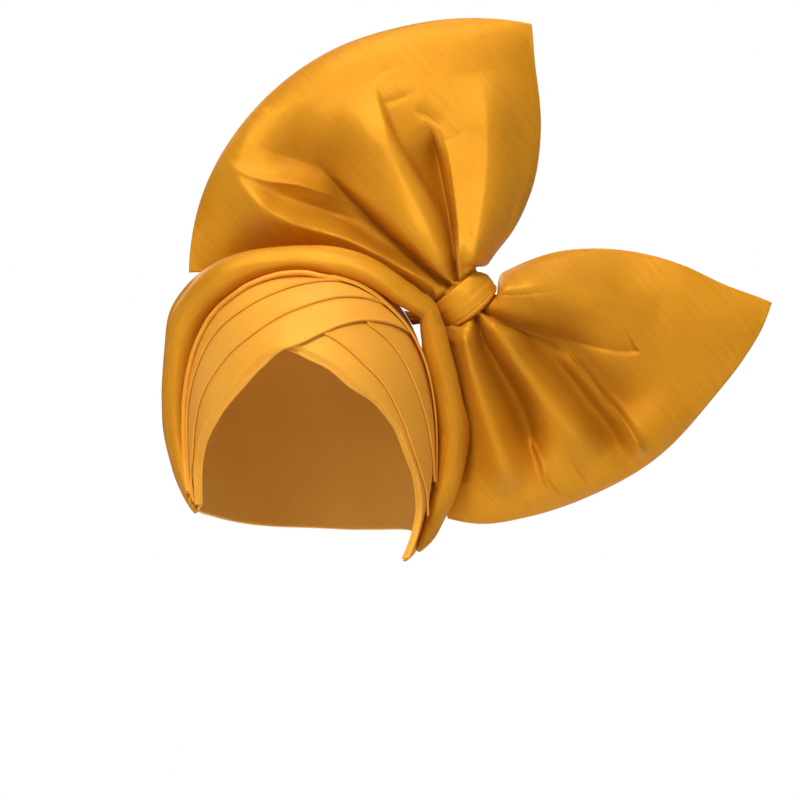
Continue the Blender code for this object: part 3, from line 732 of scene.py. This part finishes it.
def make_roll_tree():
    """Geometry Nodes: a wavering roll along a curve."""
    tree, sockets, start, even = begin_path_tree(
        "cloth_roll", {"Radius": 0.0017, "Waver": 0.0004, "Spacing": 0.001})
    noise = add(tree, "ShaderNodeTexNoise", {"Scale": 60})
    centred = add(tree, "ShaderNodeVectorMath", {0: noise.outputs["Color"], 1: (0.5, 0.5, 0.5)},
                  operation="SUBTRACT")
    shift = add(tree, "ShaderNodeVectorMath", {0: centred.outputs[0], "Scale": start["Waver"]},
                operation="SCALE")
    moved = add(tree, "GeometryNodeSetPosition", {"Geometry": even, "Offset": shift.outputs[0]})
    circle = add(tree, "GeometryNodeCurvePrimitiveCircle", {"Resolution": 16, "Radius": start["Radius"]})
    sweep = add(tree, "GeometryNodeCurveToMesh",
                {"Fill Caps": True, "Curve": moved.outputs["Geometry"],
                 "Profile Curve": circle.outputs["Curve"]})
    end_path_tree(tree, start, sweep.outputs["Mesh"])
    return tree, sockets


def path_object(name, points):
    """A curve object of one open line through the points."""
    curve = bpy.data.curves.new(name, "CURVE")
    curve.dimensions = "3D"
    spline = curve.splines.new("POLY")
    spline.points.add(len(points) - 1)
    spline.points.foreach_set("co", np.concatenate([points, np.ones((len(points), 1))], 1).ravel())
    return show(name, curve)


def apply_tree(path, tree, sockets, values, name):
    """Runs a tree on a path, keeps its result as a plain mesh and removes the path."""
    modifier = path.modifiers.new("shape", "NODES")
    modifier.node_group = tree
    for title, value in values.items():
        modifier[sockets[title]] = value
    ready = path.evaluated_get(bpy.context.evaluated_depsgraph_get())
    mesh = bpy.data.meshes.new_from_object(ready)
    mesh.name = name
    mesh.shade_smooth()
    bpy.data.objects.remove(path)
    piece = show(name, mesh)
    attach(piece, "root")
    print(f"{name}: {len(mesh.polygons)} faces")
    return piece


# %% Sweep the crown fold
FOLD_RADIUS = 0.0017
FOLD_DIP = 0.0055
roll_tree, roll_sockets = make_roll_tree()
fold_share = np.linspace(0, 1, 120)
fold_edge = along_rows(LEFT_EDGE_4, fold_share)
fold_height = (LOW + PLEAT_CLOTH + LAYER_GAP + FOLD_RADIUS
               + (HIGH - LOW) * smooth_step((fold_share - 0.7) / 0.2)
               - FOLD_DIP * smooth_step((fold_share - 0.9) / 0.1))
fold_foot = over_cap(fold_edge[:, 0] + 4 * smooth_step((fold_share - 0.9) / 0.1),
                     fold_edge[:, 1] - 1.2 + 2.5 * smooth_step((fold_share - 0.92) / 0.08))
fold_line = fold_foot + outward(fold_foot) * (fold_height + drape(fold_foot))[:, None]
crown_fold = apply_tree(path_object("fold_path", fold_line), roll_tree, roll_sockets,
                        {"Radius": FOLD_RADIUS, "Waver": 0.0012, "Material": fold_taffeta},
                        "rolled_crown_fold")
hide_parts("crown_fold")

# %% [markdown]
# ## The padded roll
# The roll round the cap is a stuffed tube. Its sections are ovals that change along its way, from
# two tables: one for the left side and top, one for the right. Where the tables meet it has its kink.
# Small puckers run across the tube near the kink and long soft creases run along it.

# %% Tables of the roll
HALO_THICKNESS = 0.0226
HALO_DEPTH = 0.029
CLEARANCE = 0.0004
# Columns: roll, lean, stand, thick, deep
HALO_LEFT_ROWS = [
    (-109, 73, 0.0, 0.14, 0.14), (-104, 80.5, -0.05, 0.40, 0.42), (-98, 88, -0.04, 0.64, 0.66),
    (-91, 91, 0.02, 0.76, 0.83), (-81, 92, 0.02, 0.84, 0.90), (-67, 91, 0.04, 0.98, 0.97),
    (-56, 88, 0.06, 1.13, 1.00), (-47, 84, 0.03, 1.11, 1.00), (-36, 77, 0.02, 1.00, 0.93),
    (-24, 74, 0.03, 0.80, 0.86), (-12, 72, 0.03, 0.68, 0.83), (9, 69, 0.03, 0.69, 0.83),
    (26, 69, 0.05, 0.69, 0.83), (40, 70.5, 0.15, 0.64, 0.83), (50.5, 74.5, 0.42, 0.58, 0.78),
]
HALO_RIGHT_ROWS = [
    (50.5, 74.5, 0.42, 0.58, 0.78), (58, 75.5, 0.18, 0.74, 0.80), (68, 77, 0.04, 0.84, 0.86),
    (80, 82, 0.05, 0.85, 0.90), (90, 86, 0.10, 0.90, 0.97), (97, 88, 0.04, 0.88, 0.97),
    (104, 87, -0.03, 0.76, 0.86), (110, 83, -0.06, 0.52, 0.62), (114, 78, -0.06, 0.38, 0.45),
    (118, 72, 0.0, 0.14, 0.16),
]
print("sections in the roll's tables:", len(HALO_LEFT_ROWS), "and", len(HALO_RIGHT_ROWS))


# %% The roll's mesh
HALO_LEFT_STEPS = 260
HALO_RIGHT_STEPS = 170
HALO_SIDES = 56
KINK_ROUNDING = 15
KINK_SPREAD = 0.028
CREASE_DEPTH = 0.0016
PUCKER_DEPTH = 0.0018
SLOW_SWELL = 0.0012
halo_table = np.concatenate([
    along_rows(HALO_LEFT_ROWS, np.linspace(0, 1, HALO_LEFT_STEPS)),
    along_rows(HALO_RIGHT_ROWS, np.linspace(0, 1, HALO_RIGHT_STEPS))[1:]])
halo_roll_angle, halo_lean, halo_stand, halo_thick, halo_deep = halo_table.T
half_height = halo_thick * HALO_THICKNESS / 2
half_width = halo_deep * HALO_DEPTH / 2
halo_foot = over_cap(halo_roll_angle, halo_lean)
halo_up = outward(halo_foot)
halo_centre = halo_foot + halo_up * (halo_stand * HALO_THICKNESS + half_height + CLEARANCE)[:, None]
window = np.hanning(KINK_ROUNDING + 2)[1:-1]
window /= window.sum()
padded_line = np.pad(halo_centre, ((KINK_ROUNDING // 2, KINK_ROUNDING // 2), (0, 0)), mode="edge")
rounded = np.stack([np.convolve(padded_line[:, axis], window, mode="valid") for axis in range(3)], -1)
from_kink = np.abs(np.arange(len(halo_centre)) - (HALO_LEFT_STEPS - 1))[:, None]
halo_centre = rounded + (halo_centre - rounded) * smooth_step((from_kink - 10) / 20)
ahead = np.gradient(halo_centre, axis=0)
halo_side = np.cross(ahead, halo_up)
halo_side /= np.linalg.norm(halo_side, axis=-1, keepdims=True)
around = np.linspace(0, math.tau, HALO_SIDES, endpoint=False)[None, :]
length = np.concatenate([[0], np.cumsum(np.linalg.norm(np.diff(halo_centre, axis=0), axis=-1))])[:, None]
kink_at = length[HALO_LEFT_STEPS - 1, 0]
near_kink = np.exp(-((length - kink_at) / KINK_SPREAD) ** 2)
size_here = (half_height / half_height.max())[:, None]
creases_along = -CREASE_DEPTH * np.maximum(0, waves(around / math.tau, length * 9, 7, 11) - 0.15)
puckers = -PUCKER_DEPTH * near_kink * np.maximum(0, waves(length, around * 0.6, 150, 5))
slow = SLOW_SWELL * waves(length, around * 0.5, 28, 21)
swell = (creases_along + puckers + slow) * size_here
rows = (halo_centre[:, None] + halo_up[:, None] * (np.cos(around) * (half_height[:, None] + swell))[..., None]
        + halo_side[:, None] * (np.sin(around) * (half_width[:, None] + swell))[..., None])
halo = cloth_object("padded_roll", rows, measured_chart(rows)[..., ::-1], (bow_taffeta,), node="halo_roll",
                    ends=True)

# %% [markdown]
# ## The wings of the bow
# Each wing is a stuffed pillow that is pinched at the knot. It opens like a fan: turn is the angle
# about the knot, and station is the share of the way out to the rim. Between its seams it swells.
# Folds then sink or lift this shape along lines over it. A point asks each line how far away it
# is, and a soft curve of that distance says how much the line moves it. Where a fold is deep, the
# colour is painted darker and warmer: painted shade, standing in for the shadow in the fold.

# %% Sizes and outlines of the bow
KNOT = np.array([0.0945, -0.008, -0.0192])
BOW_TURN = math.radians(129.2)
BOW_AXIS = np.array([math.cos(BOW_TURN), 0, math.sin(BOW_TURN)])
BOW_ACROSS = np.array([-BOW_AXIS[2], 0, BOW_AXIS[0]])
UPPER_REACH = 0.178
LOWER_REACH = 0.194
UPPER_PUFF = 0.028
LOWER_PUFF = 0.026
WING_SWEEP = 0.024
SEAM = 0.0012
GATHER_WIDTH = 0.034
GATHER_DEPTH = 0.031
GATHER_END = 0.04
FLARE_SHARE = 0.11
BULGE = 0.0035
BAND_WIDTH = 0.0165
BAND_THICKNESS = 0.0032
BAND_BOW = 0.0045
# Columns of a rim: turn in degrees, share of the reach. Columns of a side: station, turn in degrees
UPPER_RIM = [(76, 1.0), (91, 0.99), (103, 0.985), (118, 0.993), (139, 0.995), (159, 0.99), (174.5, 0.972)]
LOWER_RIM = [(-94, 0.713), (-86, 0.730), (-73, 0.737), (-57, 0.760), (-40, 0.810), (-20, 0.880),
             (-12, 0.930), (-5, 0.977), (-0.7, 1.0)]
UPPER_RIGHT_SIDE = [(0.05, 50), (0.16, 54), (0.28, 53.5), (0.43, 57), (0.65, 65), (0.87, 73), (1, 76)]
UPPER_LEFT_SIDE = [(0.05, 190), (0.16, 185), (0.25, 174), (0.38, 164), (0.5, 165), (0.72, 172), (1, 174.5)]
LOWER_LEFT_SIDE = [(0.05, -137), (0.15, -128), (0.25, -115), (0.4, -105), (0.6, -99.5), (0.8, -96.5), (1, -94)]
LOWER_RIGHT_SIDE = [(0.05, 36), (0.21, 31), (0.3, 28), (0.47, 20.2), (0.71, 9.2), (0.83, 3.8), (1, -0.7)]
print("bow turned from level, degrees:", round(math.degrees(BOW_TURN), 1))

# %% Lines of the folds
# Each fold is a line over the wing, in millimetres right of and above the knot, from the knot out.
# sink is how deep it goes, or below zero how far it stands up. left and right are its widths on
# either side of the line, looking outwards, and sharp is 1 for a crisp fold and 2 for a soft one.
# lead and run are the shares of its length over which it begins and ends.
# Columns: sink, left, right, sharp, lead, run, line of (right, up)
UPPER_FOLDS = [
    (-9, 12, 18, 2.0, 0.1, 0.3, [(4, 12), (10, 40), (15, 75), (15, 110), (9, 142)]),
    (-11, 22, 16, 2.0, 0.15, 0.35, [(-6, 14), (-22, 40), (-42, 75), (-62, 105), (-82, 128)]),
    (23, 12, 1.8, 1.2, 0.02, 0.4, [(-3.5, 9), (-5.6, 22), (-8.6, 46), (-12, 66), (-15.5, 84), (-19, 98),
         (-24, 110)]),
    (-3, 1.6, 14, 1.4, 0.1, 0.4, [(-2.5, 22), (-4.3, 46), (-7, 72), (-10, 90), (-15, 110)]),
    (-5, 16, 1.7, 1.2, 0.15, 0.35, [(-8, 24), (-13, 46), (-21, 62), (-31, 78), (-45, 101), (-51, 116),
         (-57, 135)]),
    (8, 1.7, 15, 1.2, 0.15, 0.35, [(-6.5, 24), (-10.5, 45), (-18, 61), (-27, 75), (-41, 98), (-47, 114),
         (-54, 133)]),
    (14, 13, 26, 1.6, 0.4, 0.45, [(-58, 60), (-80, 78), (-100, 86), (-119, 91), (-138, 96)]),
    (24, 14, 2.4, 1.2, 0.02, 0.45, [(-7, 7), (-21, 16.6), (-34, 28), (-48, 39.5), (-61.5, 53),
         (-75, 66.5), (-85, 77), (-95, 88)]),
    (-5, 3, 4, 1.2, 0.5, 0.45, [(-52, 50), (-75, 61.5), (-96, 68.5), (-107, 71), (-125, 73.5), (-141, 80),
         (-151, 90)]),
    (7, 7, 5, 1.4, 0.45, 0.55, [(-41, 32), (-57, 43), (-73, 50.5), (-89, 56), (-107, 62), (-123, 68),
         (-136, 76)]),
    (-13, 14, 7, 1.6, 0.1, 0.2, [(-14, 6), (-39, 18), (-57, 27.5), (-73, 35.5), (-87, 40), (-100, 43.5),
         (-113, 49), (-123, 55), (-133, 65), (-151, 88)]),
    (22, 13, 12, 1.8, 0.2, 0.5, [(-40, 2), (-70, 12), (-95, 18), (-120, 22), (-150, 28)]),
    (1.6, 5, 2, 1.2, 0.3, 0.4, [(17, 26), (24, 38), (30, 51), (35, 70)]),
    (1.4, 4, 1.6, 1.1, 0.3, 0.5, [(-58, 132), (-52, 139), (-44, 143), (-36, 143)]),
    (1.2, 3, 1.4, 1.1, 0.3, 0.5, [(-52, 121), (-44, 122), (-36, 125), (-28, 130)]),
    (1.8, 3, 1.4, 1.1, 0.3, 0.5, [(-31, 117), (-25, 114), (-19, 110), (-14, 105)]),
    (1.0, 3, 1.4, 1.1, 0.3, 0.5, [(-16, 96), (-8, 98), (2, 104)]),
]
LOWER_FOLDS = [
    (-11, 14, 14, 2.0, 0.15, 0.35, [(14, 3), (35, 6), (60, 3), (90, -5), (122, -14)]),
    (-11, 12, 13, 2.0, 0.12, 0.2, [(13, -14), (23, -25), (37, -45), (52, -63), (70, -81), (88, -98)]),
    (-11, 11, 11, 1.9, 0.1, 0.2, [(-1, -20), (4, -44), (14, -74), (23, -98), (33, -122)]),
    (25, 6, 11, 1.5, 0.02, 0.35, [(7.4, -10), (12.6, -26.5), (23, -44), (31.6, -58.5), (37.5, -70.5),
         (42, -86), (47, -104), (50, -124)]),
    (22, 14, 4, 1.3, 0.02, 0.25, [(9.7, -8), (23, -15.4), (37.5, -20.8), (49, -24.5), (60, -30),
         (72, -42), (88, -60), (98, -74), (108, -92)]),
    (4, 9, 1.5, 1.1, 0.3, 0.3, [(50, -23), (59.5, -25), (78.5, -29.5), (96, -33), (107.5, -33),
         (109.5, -31)]),
    (-9, 3, 6, 1.3, 0.25, 0.15, [(57, -27), (66.5, -35), (75.5, -45), (87, -60), (96, -70.5),
         (103.5, -82), (109, -92), (114, -100.5)]),
    (21, 7, 11, 1.5, 0.15, 0.35, [(30, -18), (46, -29), (58, -40), (70, -54.5), (80.5, -68.5), (92, -83),
         (101, -97), (109, -112)]),
    (6, 26, 20, 1.9, 0.4, 0.5, [(84, -38), (104, -48), (118, -62), (128, -80)]),
    (20, 9, 9, 1.6, 0.1, 0.3, [(-13, -26), (-14, -50), (-12, -80), (-6, -118)]),
    (-4, 4, 2, 1.2, 0.2, 0.3, [(42, -86), (48, -102), (53, -116), (64, -125)]),
    (2.4, 4, 1.6, 1.1, 0.3, 0.5, [(50, -108), (58, -119), (67, -125)]),
    (2.4, 5, 1.6, 1.1, 0.3, 0.5, [(66, -99), (75, -111), (80, -118)]),
    (1.6, 3, 1.4, 1.1, 0.3, 0.5, [(30, 16), (32.7, 10.5), (32, 5)]),
    (1.4, 5, 1.6, 1.1, 0.2, 0.6, [(18, 1), (34, 1), (52, 3), (74, 6)]),
]
print("lines of folds:", len(UPPER_FOLDS), "on the upper wing,", len(LOWER_FOLDS), "on the lower one")


# %% Reading the outlines and folds
def read_curve(rows, key):
    """The second column at keys of the first, on a smooth curve through uneven rows."""
    x, y = np.array(rows, float).T
    slope = np.gradient(y, x)
    key = np.clip(key, x[0], x[-1])
    index = np.clip(np.searchsorted(x, key, side="right") - 1, 0, len(x) - 2)
    step = x[index + 1] - x[index]
    t = (key - x[index]) / step
    return (y[index] * (1 + 2 * t) * (1 - t) ** 2 + slope[index] * step * t * (1 - t) ** 2
            + y[index + 1] * t * t * (3 - 2 * t) - slope[index + 1] * step * t * t * (1 - t))


def sink_of_folds(folds, plan):
    """How far the folds sink the cloth at points of the plan, in metres. plan is right and up."""
    from_knot = np.linalg.norm(plan, axis=-1)
    widening = 0.2 + 0.8 * smooth_step(from_knot / 0.07)
    deepening = 0.45 + 0.55 * smooth_step(from_knot / 0.05)
    grooves = np.zeros(plan.shape[:-1])
    ridges = np.zeros(plan.shape[:-1])
    for sink, left, right, sharp, lead, run, line in folds:
        path = along_rows(line, np.linspace(0, 1, 60)) / 1000
        nearest = np.full(plan.shape[:-1], np.inf)
        place = np.zeros(plan.shape[:-1])
        side = np.zeros(plan.shape[:-1])
        for index in range(len(path) - 1):
            start, step = path[index], path[index + 1] - path[index]
            away = plan - start
            share = np.clip((away @ step) / (step @ step), 0, 1)
            gap = away - share[..., None] * step
            distance = np.linalg.norm(gap, axis=-1)
            closer = distance < nearest
            nearest = np.where(closer, distance, nearest)
            place = np.where(closer, (index + share) / (len(path) - 1), place)
            side = np.where(closer, step[0] * gap[..., 1] - step[1] * gap[..., 0], side)
        width = np.where(side > 0, left, right) / 1000 * widening
        shape = np.exp(-(nearest / width) ** sharp)
        length = smooth_step((place + 1e-6) / lead) * smooth_step((1 - place) / run)
        amount = sink / 1000 * shape * length * deepening
        grooves = grooves + np.maximum(amount, 0)
        ridges = ridges + np.maximum(-amount, 0)
    return grooves, ridges


# %% One wing
WING_COLUMNS = 310
WING_ROWS = 145
FULL_SHADE_SINK = 0.018
FRONT_LIMIT, BACK_LIMIT = 0.85, 0.6
BACK_RIDGES = 0.4
GATHER_HEIGHT = 0.0003
LUMP_HEIGHT = 0.0012
PUCKER_HEIGHT = 0.0004


def make_wing(name, node, reach, puff, rim, side_0, side_1, folds, axis, band_edge, seed):
    """A padded fan that puffs out as it leaves the band and is thin at its seams."""
    across = np.array([-axis[2], 0, axis[0]])
    share = np.linspace(0, 1, WING_COLUMNS + 1)[None, :]
    from_middle = 2 * share - 1
    inside_band = [CLEARANCE / reach, (band_edge + CLEARANCE) / reach]
    station = np.concatenate([inside_band, np.linspace(inside_band[1] + 0.006, 1, WING_ROWS)])[:, None]
    along = station * reach
    free = smooth_step((along - band_edge - CLEARANCE) / 0.0035)
    turn_0 = read_curve(side_0, station)
    turn_1 = read_curve(side_1, station)
    turn = turn_0 + (turn_1 - turn_0) * share
    rim_reach = read_curve(rim, rim[0][0] + (rim[-1][0] - rim[0][0]) * share)
    radius = station * reach * rim_reach
    half_width = GATHER_WIDTH / 2 + BULGE * free
    straight = KNOT + axis * along[..., None] + across * (from_middle * half_width)[..., None]
    out = np.stack([np.cos(np.radians(turn)), np.zeros_like(turn), np.sin(np.radians(turn))], -1)
    spread = KNOT + out * radius[..., None]
    opened = smooth_step((station - GATHER_END) / FLARE_SHARE)
    place = straight + (spread - straight) * opened[..., None]
    round_off = np.sqrt(np.maximum(0, 1 - from_middle ** 2))
    bundle = np.maximum(SEAM, (GATHER_DEPTH / 2 + BULGE * free) * round_off)
    swell = puff * (1 - station ** 5) ** 0.65 * (1 - np.abs(from_middle) ** 2.6) ** 0.7
    thick = np.maximum(SEAM, bundle + (swell - bundle) * opened)
    place[..., 1] += WING_SWEEP * smooth_step(station / 0.6)
    plan = (place - KNOT)[..., [0, 2]]
    grooves, ridges = sink_of_folds(folds, plan)
    gathers = GATHER_HEIGHT * np.exp(-station / 0.2) * waves(share, station * 5, 24, seed)
    lumps = LUMP_HEIGHT * waves(share, station * 3, 5, seed + 1) * smooth_step(station / 0.3)
    puckers = PUCKER_HEIGHT * smooth_step((station - 0.90) / 0.08) * waves(share, station * 2, 48, seed + 2)
    uneven = gathers + lumps + puckers
    edge_fade = smooth_step((thick - SEAM) / 0.006)
    front_limit = FRONT_LIMIT * thick
    front_sunk = (front_limit * np.tanh(grooves / front_limit) - (ridges + uneven) * free) * edge_fade
    back_sunk = BACK_LIMIT * thick * np.tanh(grooves / thick) - (BACK_RIDGES * ridges - uneven) * free
    back_sunk = back_sunk * edge_fade
    depth = np.zeros_like(place)
    depth[..., 1] = -thick + front_sunk
    front = place + depth
    depth[..., 1] = thick - back_sunk
    back = place + depth
    rows = np.concatenate([front, back[:, ::-1]], 1)
    # Painted shade: deeper grooves take more of the dark fold colour, the back less of it.
    painted_shade_share = smooth_step(grooves / FULL_SHADE_SINK) * edge_fade
    painted_shade_share = np.concatenate([painted_shade_share, BACK_LIMIT * painted_shade_share[:, ::-1]], 1)
    chart = np.stack([(rows - KNOT) @ axis, (rows - KNOT) @ across], -1)
    chart = np.concatenate([chart, chart[:, :1]], 1)
    count = WING_COLUMNS + 1
    last = (len(station) - 1) * 2 * count
    strips = [(base + j, base + j + 1, base + 2 * count - 2 - j, base + 2 * count - 1 - j)
              for base in (0, last) for j in range(WING_COLUMNS)]
    piece = cloth_object(name, rows, chart, (bow_taffeta,), node=node, strips=strips, depth=painted_shade_share)
    return piece


make_wing("upper_wing", "bow_upper_wing", UPPER_REACH, UPPER_PUFF, UPPER_RIM, UPPER_RIGHT_SIDE,
          UPPER_LEFT_SIDE, UPPER_FOLDS, BOW_AXIS, BAND_WIDTH / 2, 31)
make_wing("lower_wing", "bow_lower_wing", LOWER_REACH, LOWER_PUFF, LOWER_RIM, LOWER_LEFT_SIDE,
          LOWER_RIGHT_SIDE, LOWER_FOLDS, -BOW_AXIS, BAND_WIDTH / 2 + BAND_BOW, 47)

# %% [markdown]
# ## The band round the knot
# A folded strip wraps the gathered cloth. It is crowned across its width, and its lower edge shows
# the turned hem as a fine step. Long shallow pulls run round it.

# %% The band
# Columns: place across the band's width, share of its thickness
BAND_PROFILE = [(-0.5, 0.0), (-0.5, 0.45), (-0.46, 0.72), (-0.42, 0.82), (-0.37, 0.85), (-0.355, 0.68),
                (-0.34, 0.90), (-0.12, 0.99), (0.0, 1.0), (0.2, 0.97), (0.38, 0.86), (0.47, 0.66),
                (0.5, 0.40), (0.5, 0.0), (0.2, 0.0), (-0.2, 0.0)]
KNOT_SIDES = 160
knot_angle = np.linspace(0, math.tau, KNOT_SIDES, endpoint=False)[None, :]
profile = np.array(BAND_PROFILE)
profile = np.concatenate([profile, profile[:1]])
band_share = np.linspace(0, len(BAND_PROFILE), 90, endpoint=False)
band_along = np.interp(band_share, np.arange(len(profile)), profile[:, 0])[:, None]
band_crown = np.interp(band_share, np.arange(len(profile)), profile[:, 1])[:, None]
pulls = 0.0003 * waves(band_along, knot_angle * 0.8, 7, 9) * (band_crown > 0.3)
band_swell = band_crown * BAND_THICKNESS + pulls
band_half_width = GATHER_WIDTH / 2 + CLEARANCE + band_swell
band_half_depth = GATHER_DEPTH / 2 + CLEARANCE + band_swell
end_tuck = 1 - 0.55 * np.exp(-((knot_angle - math.pi) / 0.45) ** 2) * (band_along > 0)
band_bow = BAND_BOW * np.abs(np.sin(knot_angle)) * (0.5 - band_along)
band_points = (KNOT + BOW_AXIS * (band_along * BAND_WIDTH * end_tuck - band_bow)[..., None]
               + BOW_ACROSS * (np.cos(knot_angle) * band_half_width)[..., None]
               + np.array([0, 1, 0]) * (np.sin(knot_angle) * band_half_depth)[..., None])
rows = np.concatenate([band_points, band_points[:1]])
knot_band = cloth_object("knot_band", rows, measured_chart(rows), (bow_taffeta,), node="bow_knot")
bm = bmesh.new()
bm.from_mesh(knot_band.data)
bmesh.ops.remove_doubles(bm, verts=bm.verts, dist=1e-6)
bmesh.ops.recalc_face_normals(bm, faces=bm.faces)
bm.to_mesh(knot_band.data)
bm.free()

# %% [markdown]
# ## The scrap that holds the knot
# Between the roll and the knot a scrap of the same cloth is gathered and sewn to the cap. Its
# sections have small flutes, as gathered cloth has. All of it takes the full painted fold shade, as
# it lies in shadow behind the roll.

# %% The scrap
FLUTES = 8
FLUTE_DEPTH = 0.14
TAB_WIDTH = 0.011
TAB_FOOT = (50, 92)
# Column: share of the scrap's width
TAB_ROWS = [(1.0,), (0.8,), (0.75,), (0.9,)]
tab_foot = over_cap(*TAB_FOOT, CLEARANCE)
tab_away = outward(over_cap(*TAB_FOOT))
tab_tip = KNOT + BOW_ACROSS * (GATHER_WIDTH / 2 + BAND_THICKNESS + CLEARANCE * 2)
tab_share = np.linspace(0, 1, 40)[:, None]
tab_ahead = tab_away * (1 - tab_share) - BOW_ACROSS * tab_share
tab_ahead /= np.linalg.norm(tab_ahead, axis=-1, keepdims=True)
tab_side = np.cross(tab_ahead, [0, 1, 0])
tab_side /= np.linalg.norm(tab_side, axis=-1, keepdims=True)
tab_deep = np.cross(tab_side, tab_ahead)
tab_angle = np.linspace(0, math.tau, 72, endpoint=False)[None, :]
tab_wide = along_rows(TAB_ROWS, tab_share[:, 0])
flutes = 1 - FLUTE_DEPTH * (0.5 + 0.5 * np.cos(tab_angle * FLUTES + 1.5 * tab_share))
tab_radius = TAB_WIDTH / 2 * tab_wide * flutes
rows = ((tab_foot * (1 - tab_share) + tab_tip * tab_share)[:, None]
        + tab_side[:, None] * (np.cos(tab_angle) * tab_radius)[..., None]
        + tab_deep[:, None] * (np.sin(tab_angle) * tab_radius * 0.7)[..., None])
# Painted shade: the whole scrap gets the darkest fold colour.
tab = cloth_object("gathered_tab", rows, measured_chart(rows), (bow_taffeta,), node="knot_tab", ends=True,
                   depth=np.ones(rows.shape[:2]))

# %% [markdown]
# ## Rows of stitches
# The band's fold and the cap's hem are sewn. A stitch is a short thread that dips at both ends, and
# a row of them follows a line, so Geometry Nodes can lay one small rounded thread at even steps.

# %% The stitch tree
def make_stitch_tree():
    """Geometry Nodes: rounded threads at even steps along a curve."""
    tree, sockets, start, even = begin_path_tree(
        "stitch_row", {"Spacing": 0.0026, "Length": 0.0018, "Thickness": 0.0004})
    thread = add(tree, "GeometryNodeMeshUVSphere", {"Segments": 8, "Rings": 6, "Radius": 0.5})
    size = add(tree, "ShaderNodeCombineXYZ",
               {"X": start["Thickness"], "Y": start["Thickness"], "Z": start["Length"]})
    tangent = tree.nodes.new("GeometryNodeInputTangent").outputs["Tangent"]
    along = add(tree, "FunctionNodeAlignRotationToVector", {"Vector": tangent}, axis="Z")
    laid = add(tree, "GeometryNodeInstanceOnPoints",
               {"Points": even, "Instance": thread.outputs["Mesh"], "Rotation": along.outputs["Rotation"],
                "Scale": size.outputs["Vector"]})
    end_path_tree(tree, start, laid.outputs["Instances"])
    return tree, sockets


# %% Sew the band and the hem
STITCH_THREAD = 0.00035
HEM_STITCH_INSET = 0.0105
SEWN_AT = 0.355
SEWN_SWELL = 0.78 * BAND_THICKNESS
stitch_tree, stitch_sockets = make_stitch_tree()
first_hem = len(edge_points) - HEM_STEPS + 1
hem_line = np.array([[np.interp(HEM_STITCH_INSET, to_edge[::-1, column], outer[::-1, column, axis])
                      for axis in range(3)] for column in range(first_hem, len(edge_points))])
hem_line = hem_line + outward(hem_line) * STITCH_THREAD / 4
apply_tree(path_object("hem_path", hem_line), stitch_tree, stitch_sockets,
           {"Spacing": 0.0030, "Length": 0.0020, "Thickness": STITCH_THREAD, "Material": thread_dye},
           "hem_stitches")
band_angle = np.linspace(0, math.tau, 200)[:, None]
band_line = (KNOT - BOW_AXIS * (SEWN_AT * BAND_WIDTH + BAND_BOW * np.abs(np.sin(band_angle)) * (0.5 + SEWN_AT))
             + BOW_ACROSS * np.cos(band_angle) * (GATHER_WIDTH / 2 + CLEARANCE + SEWN_SWELL)
             + np.array([0, 1, 0]) * np.sin(band_angle) * (GATHER_DEPTH / 2 + CLEARANCE + SEWN_SWELL))
apply_tree(path_object("band_path", band_line), stitch_tree, stitch_sockets,
           {"Spacing": 0.0024, "Length": 0.0016, "Thickness": STITCH_THREAD, "Material": thread_dye},
           "band_stitches")
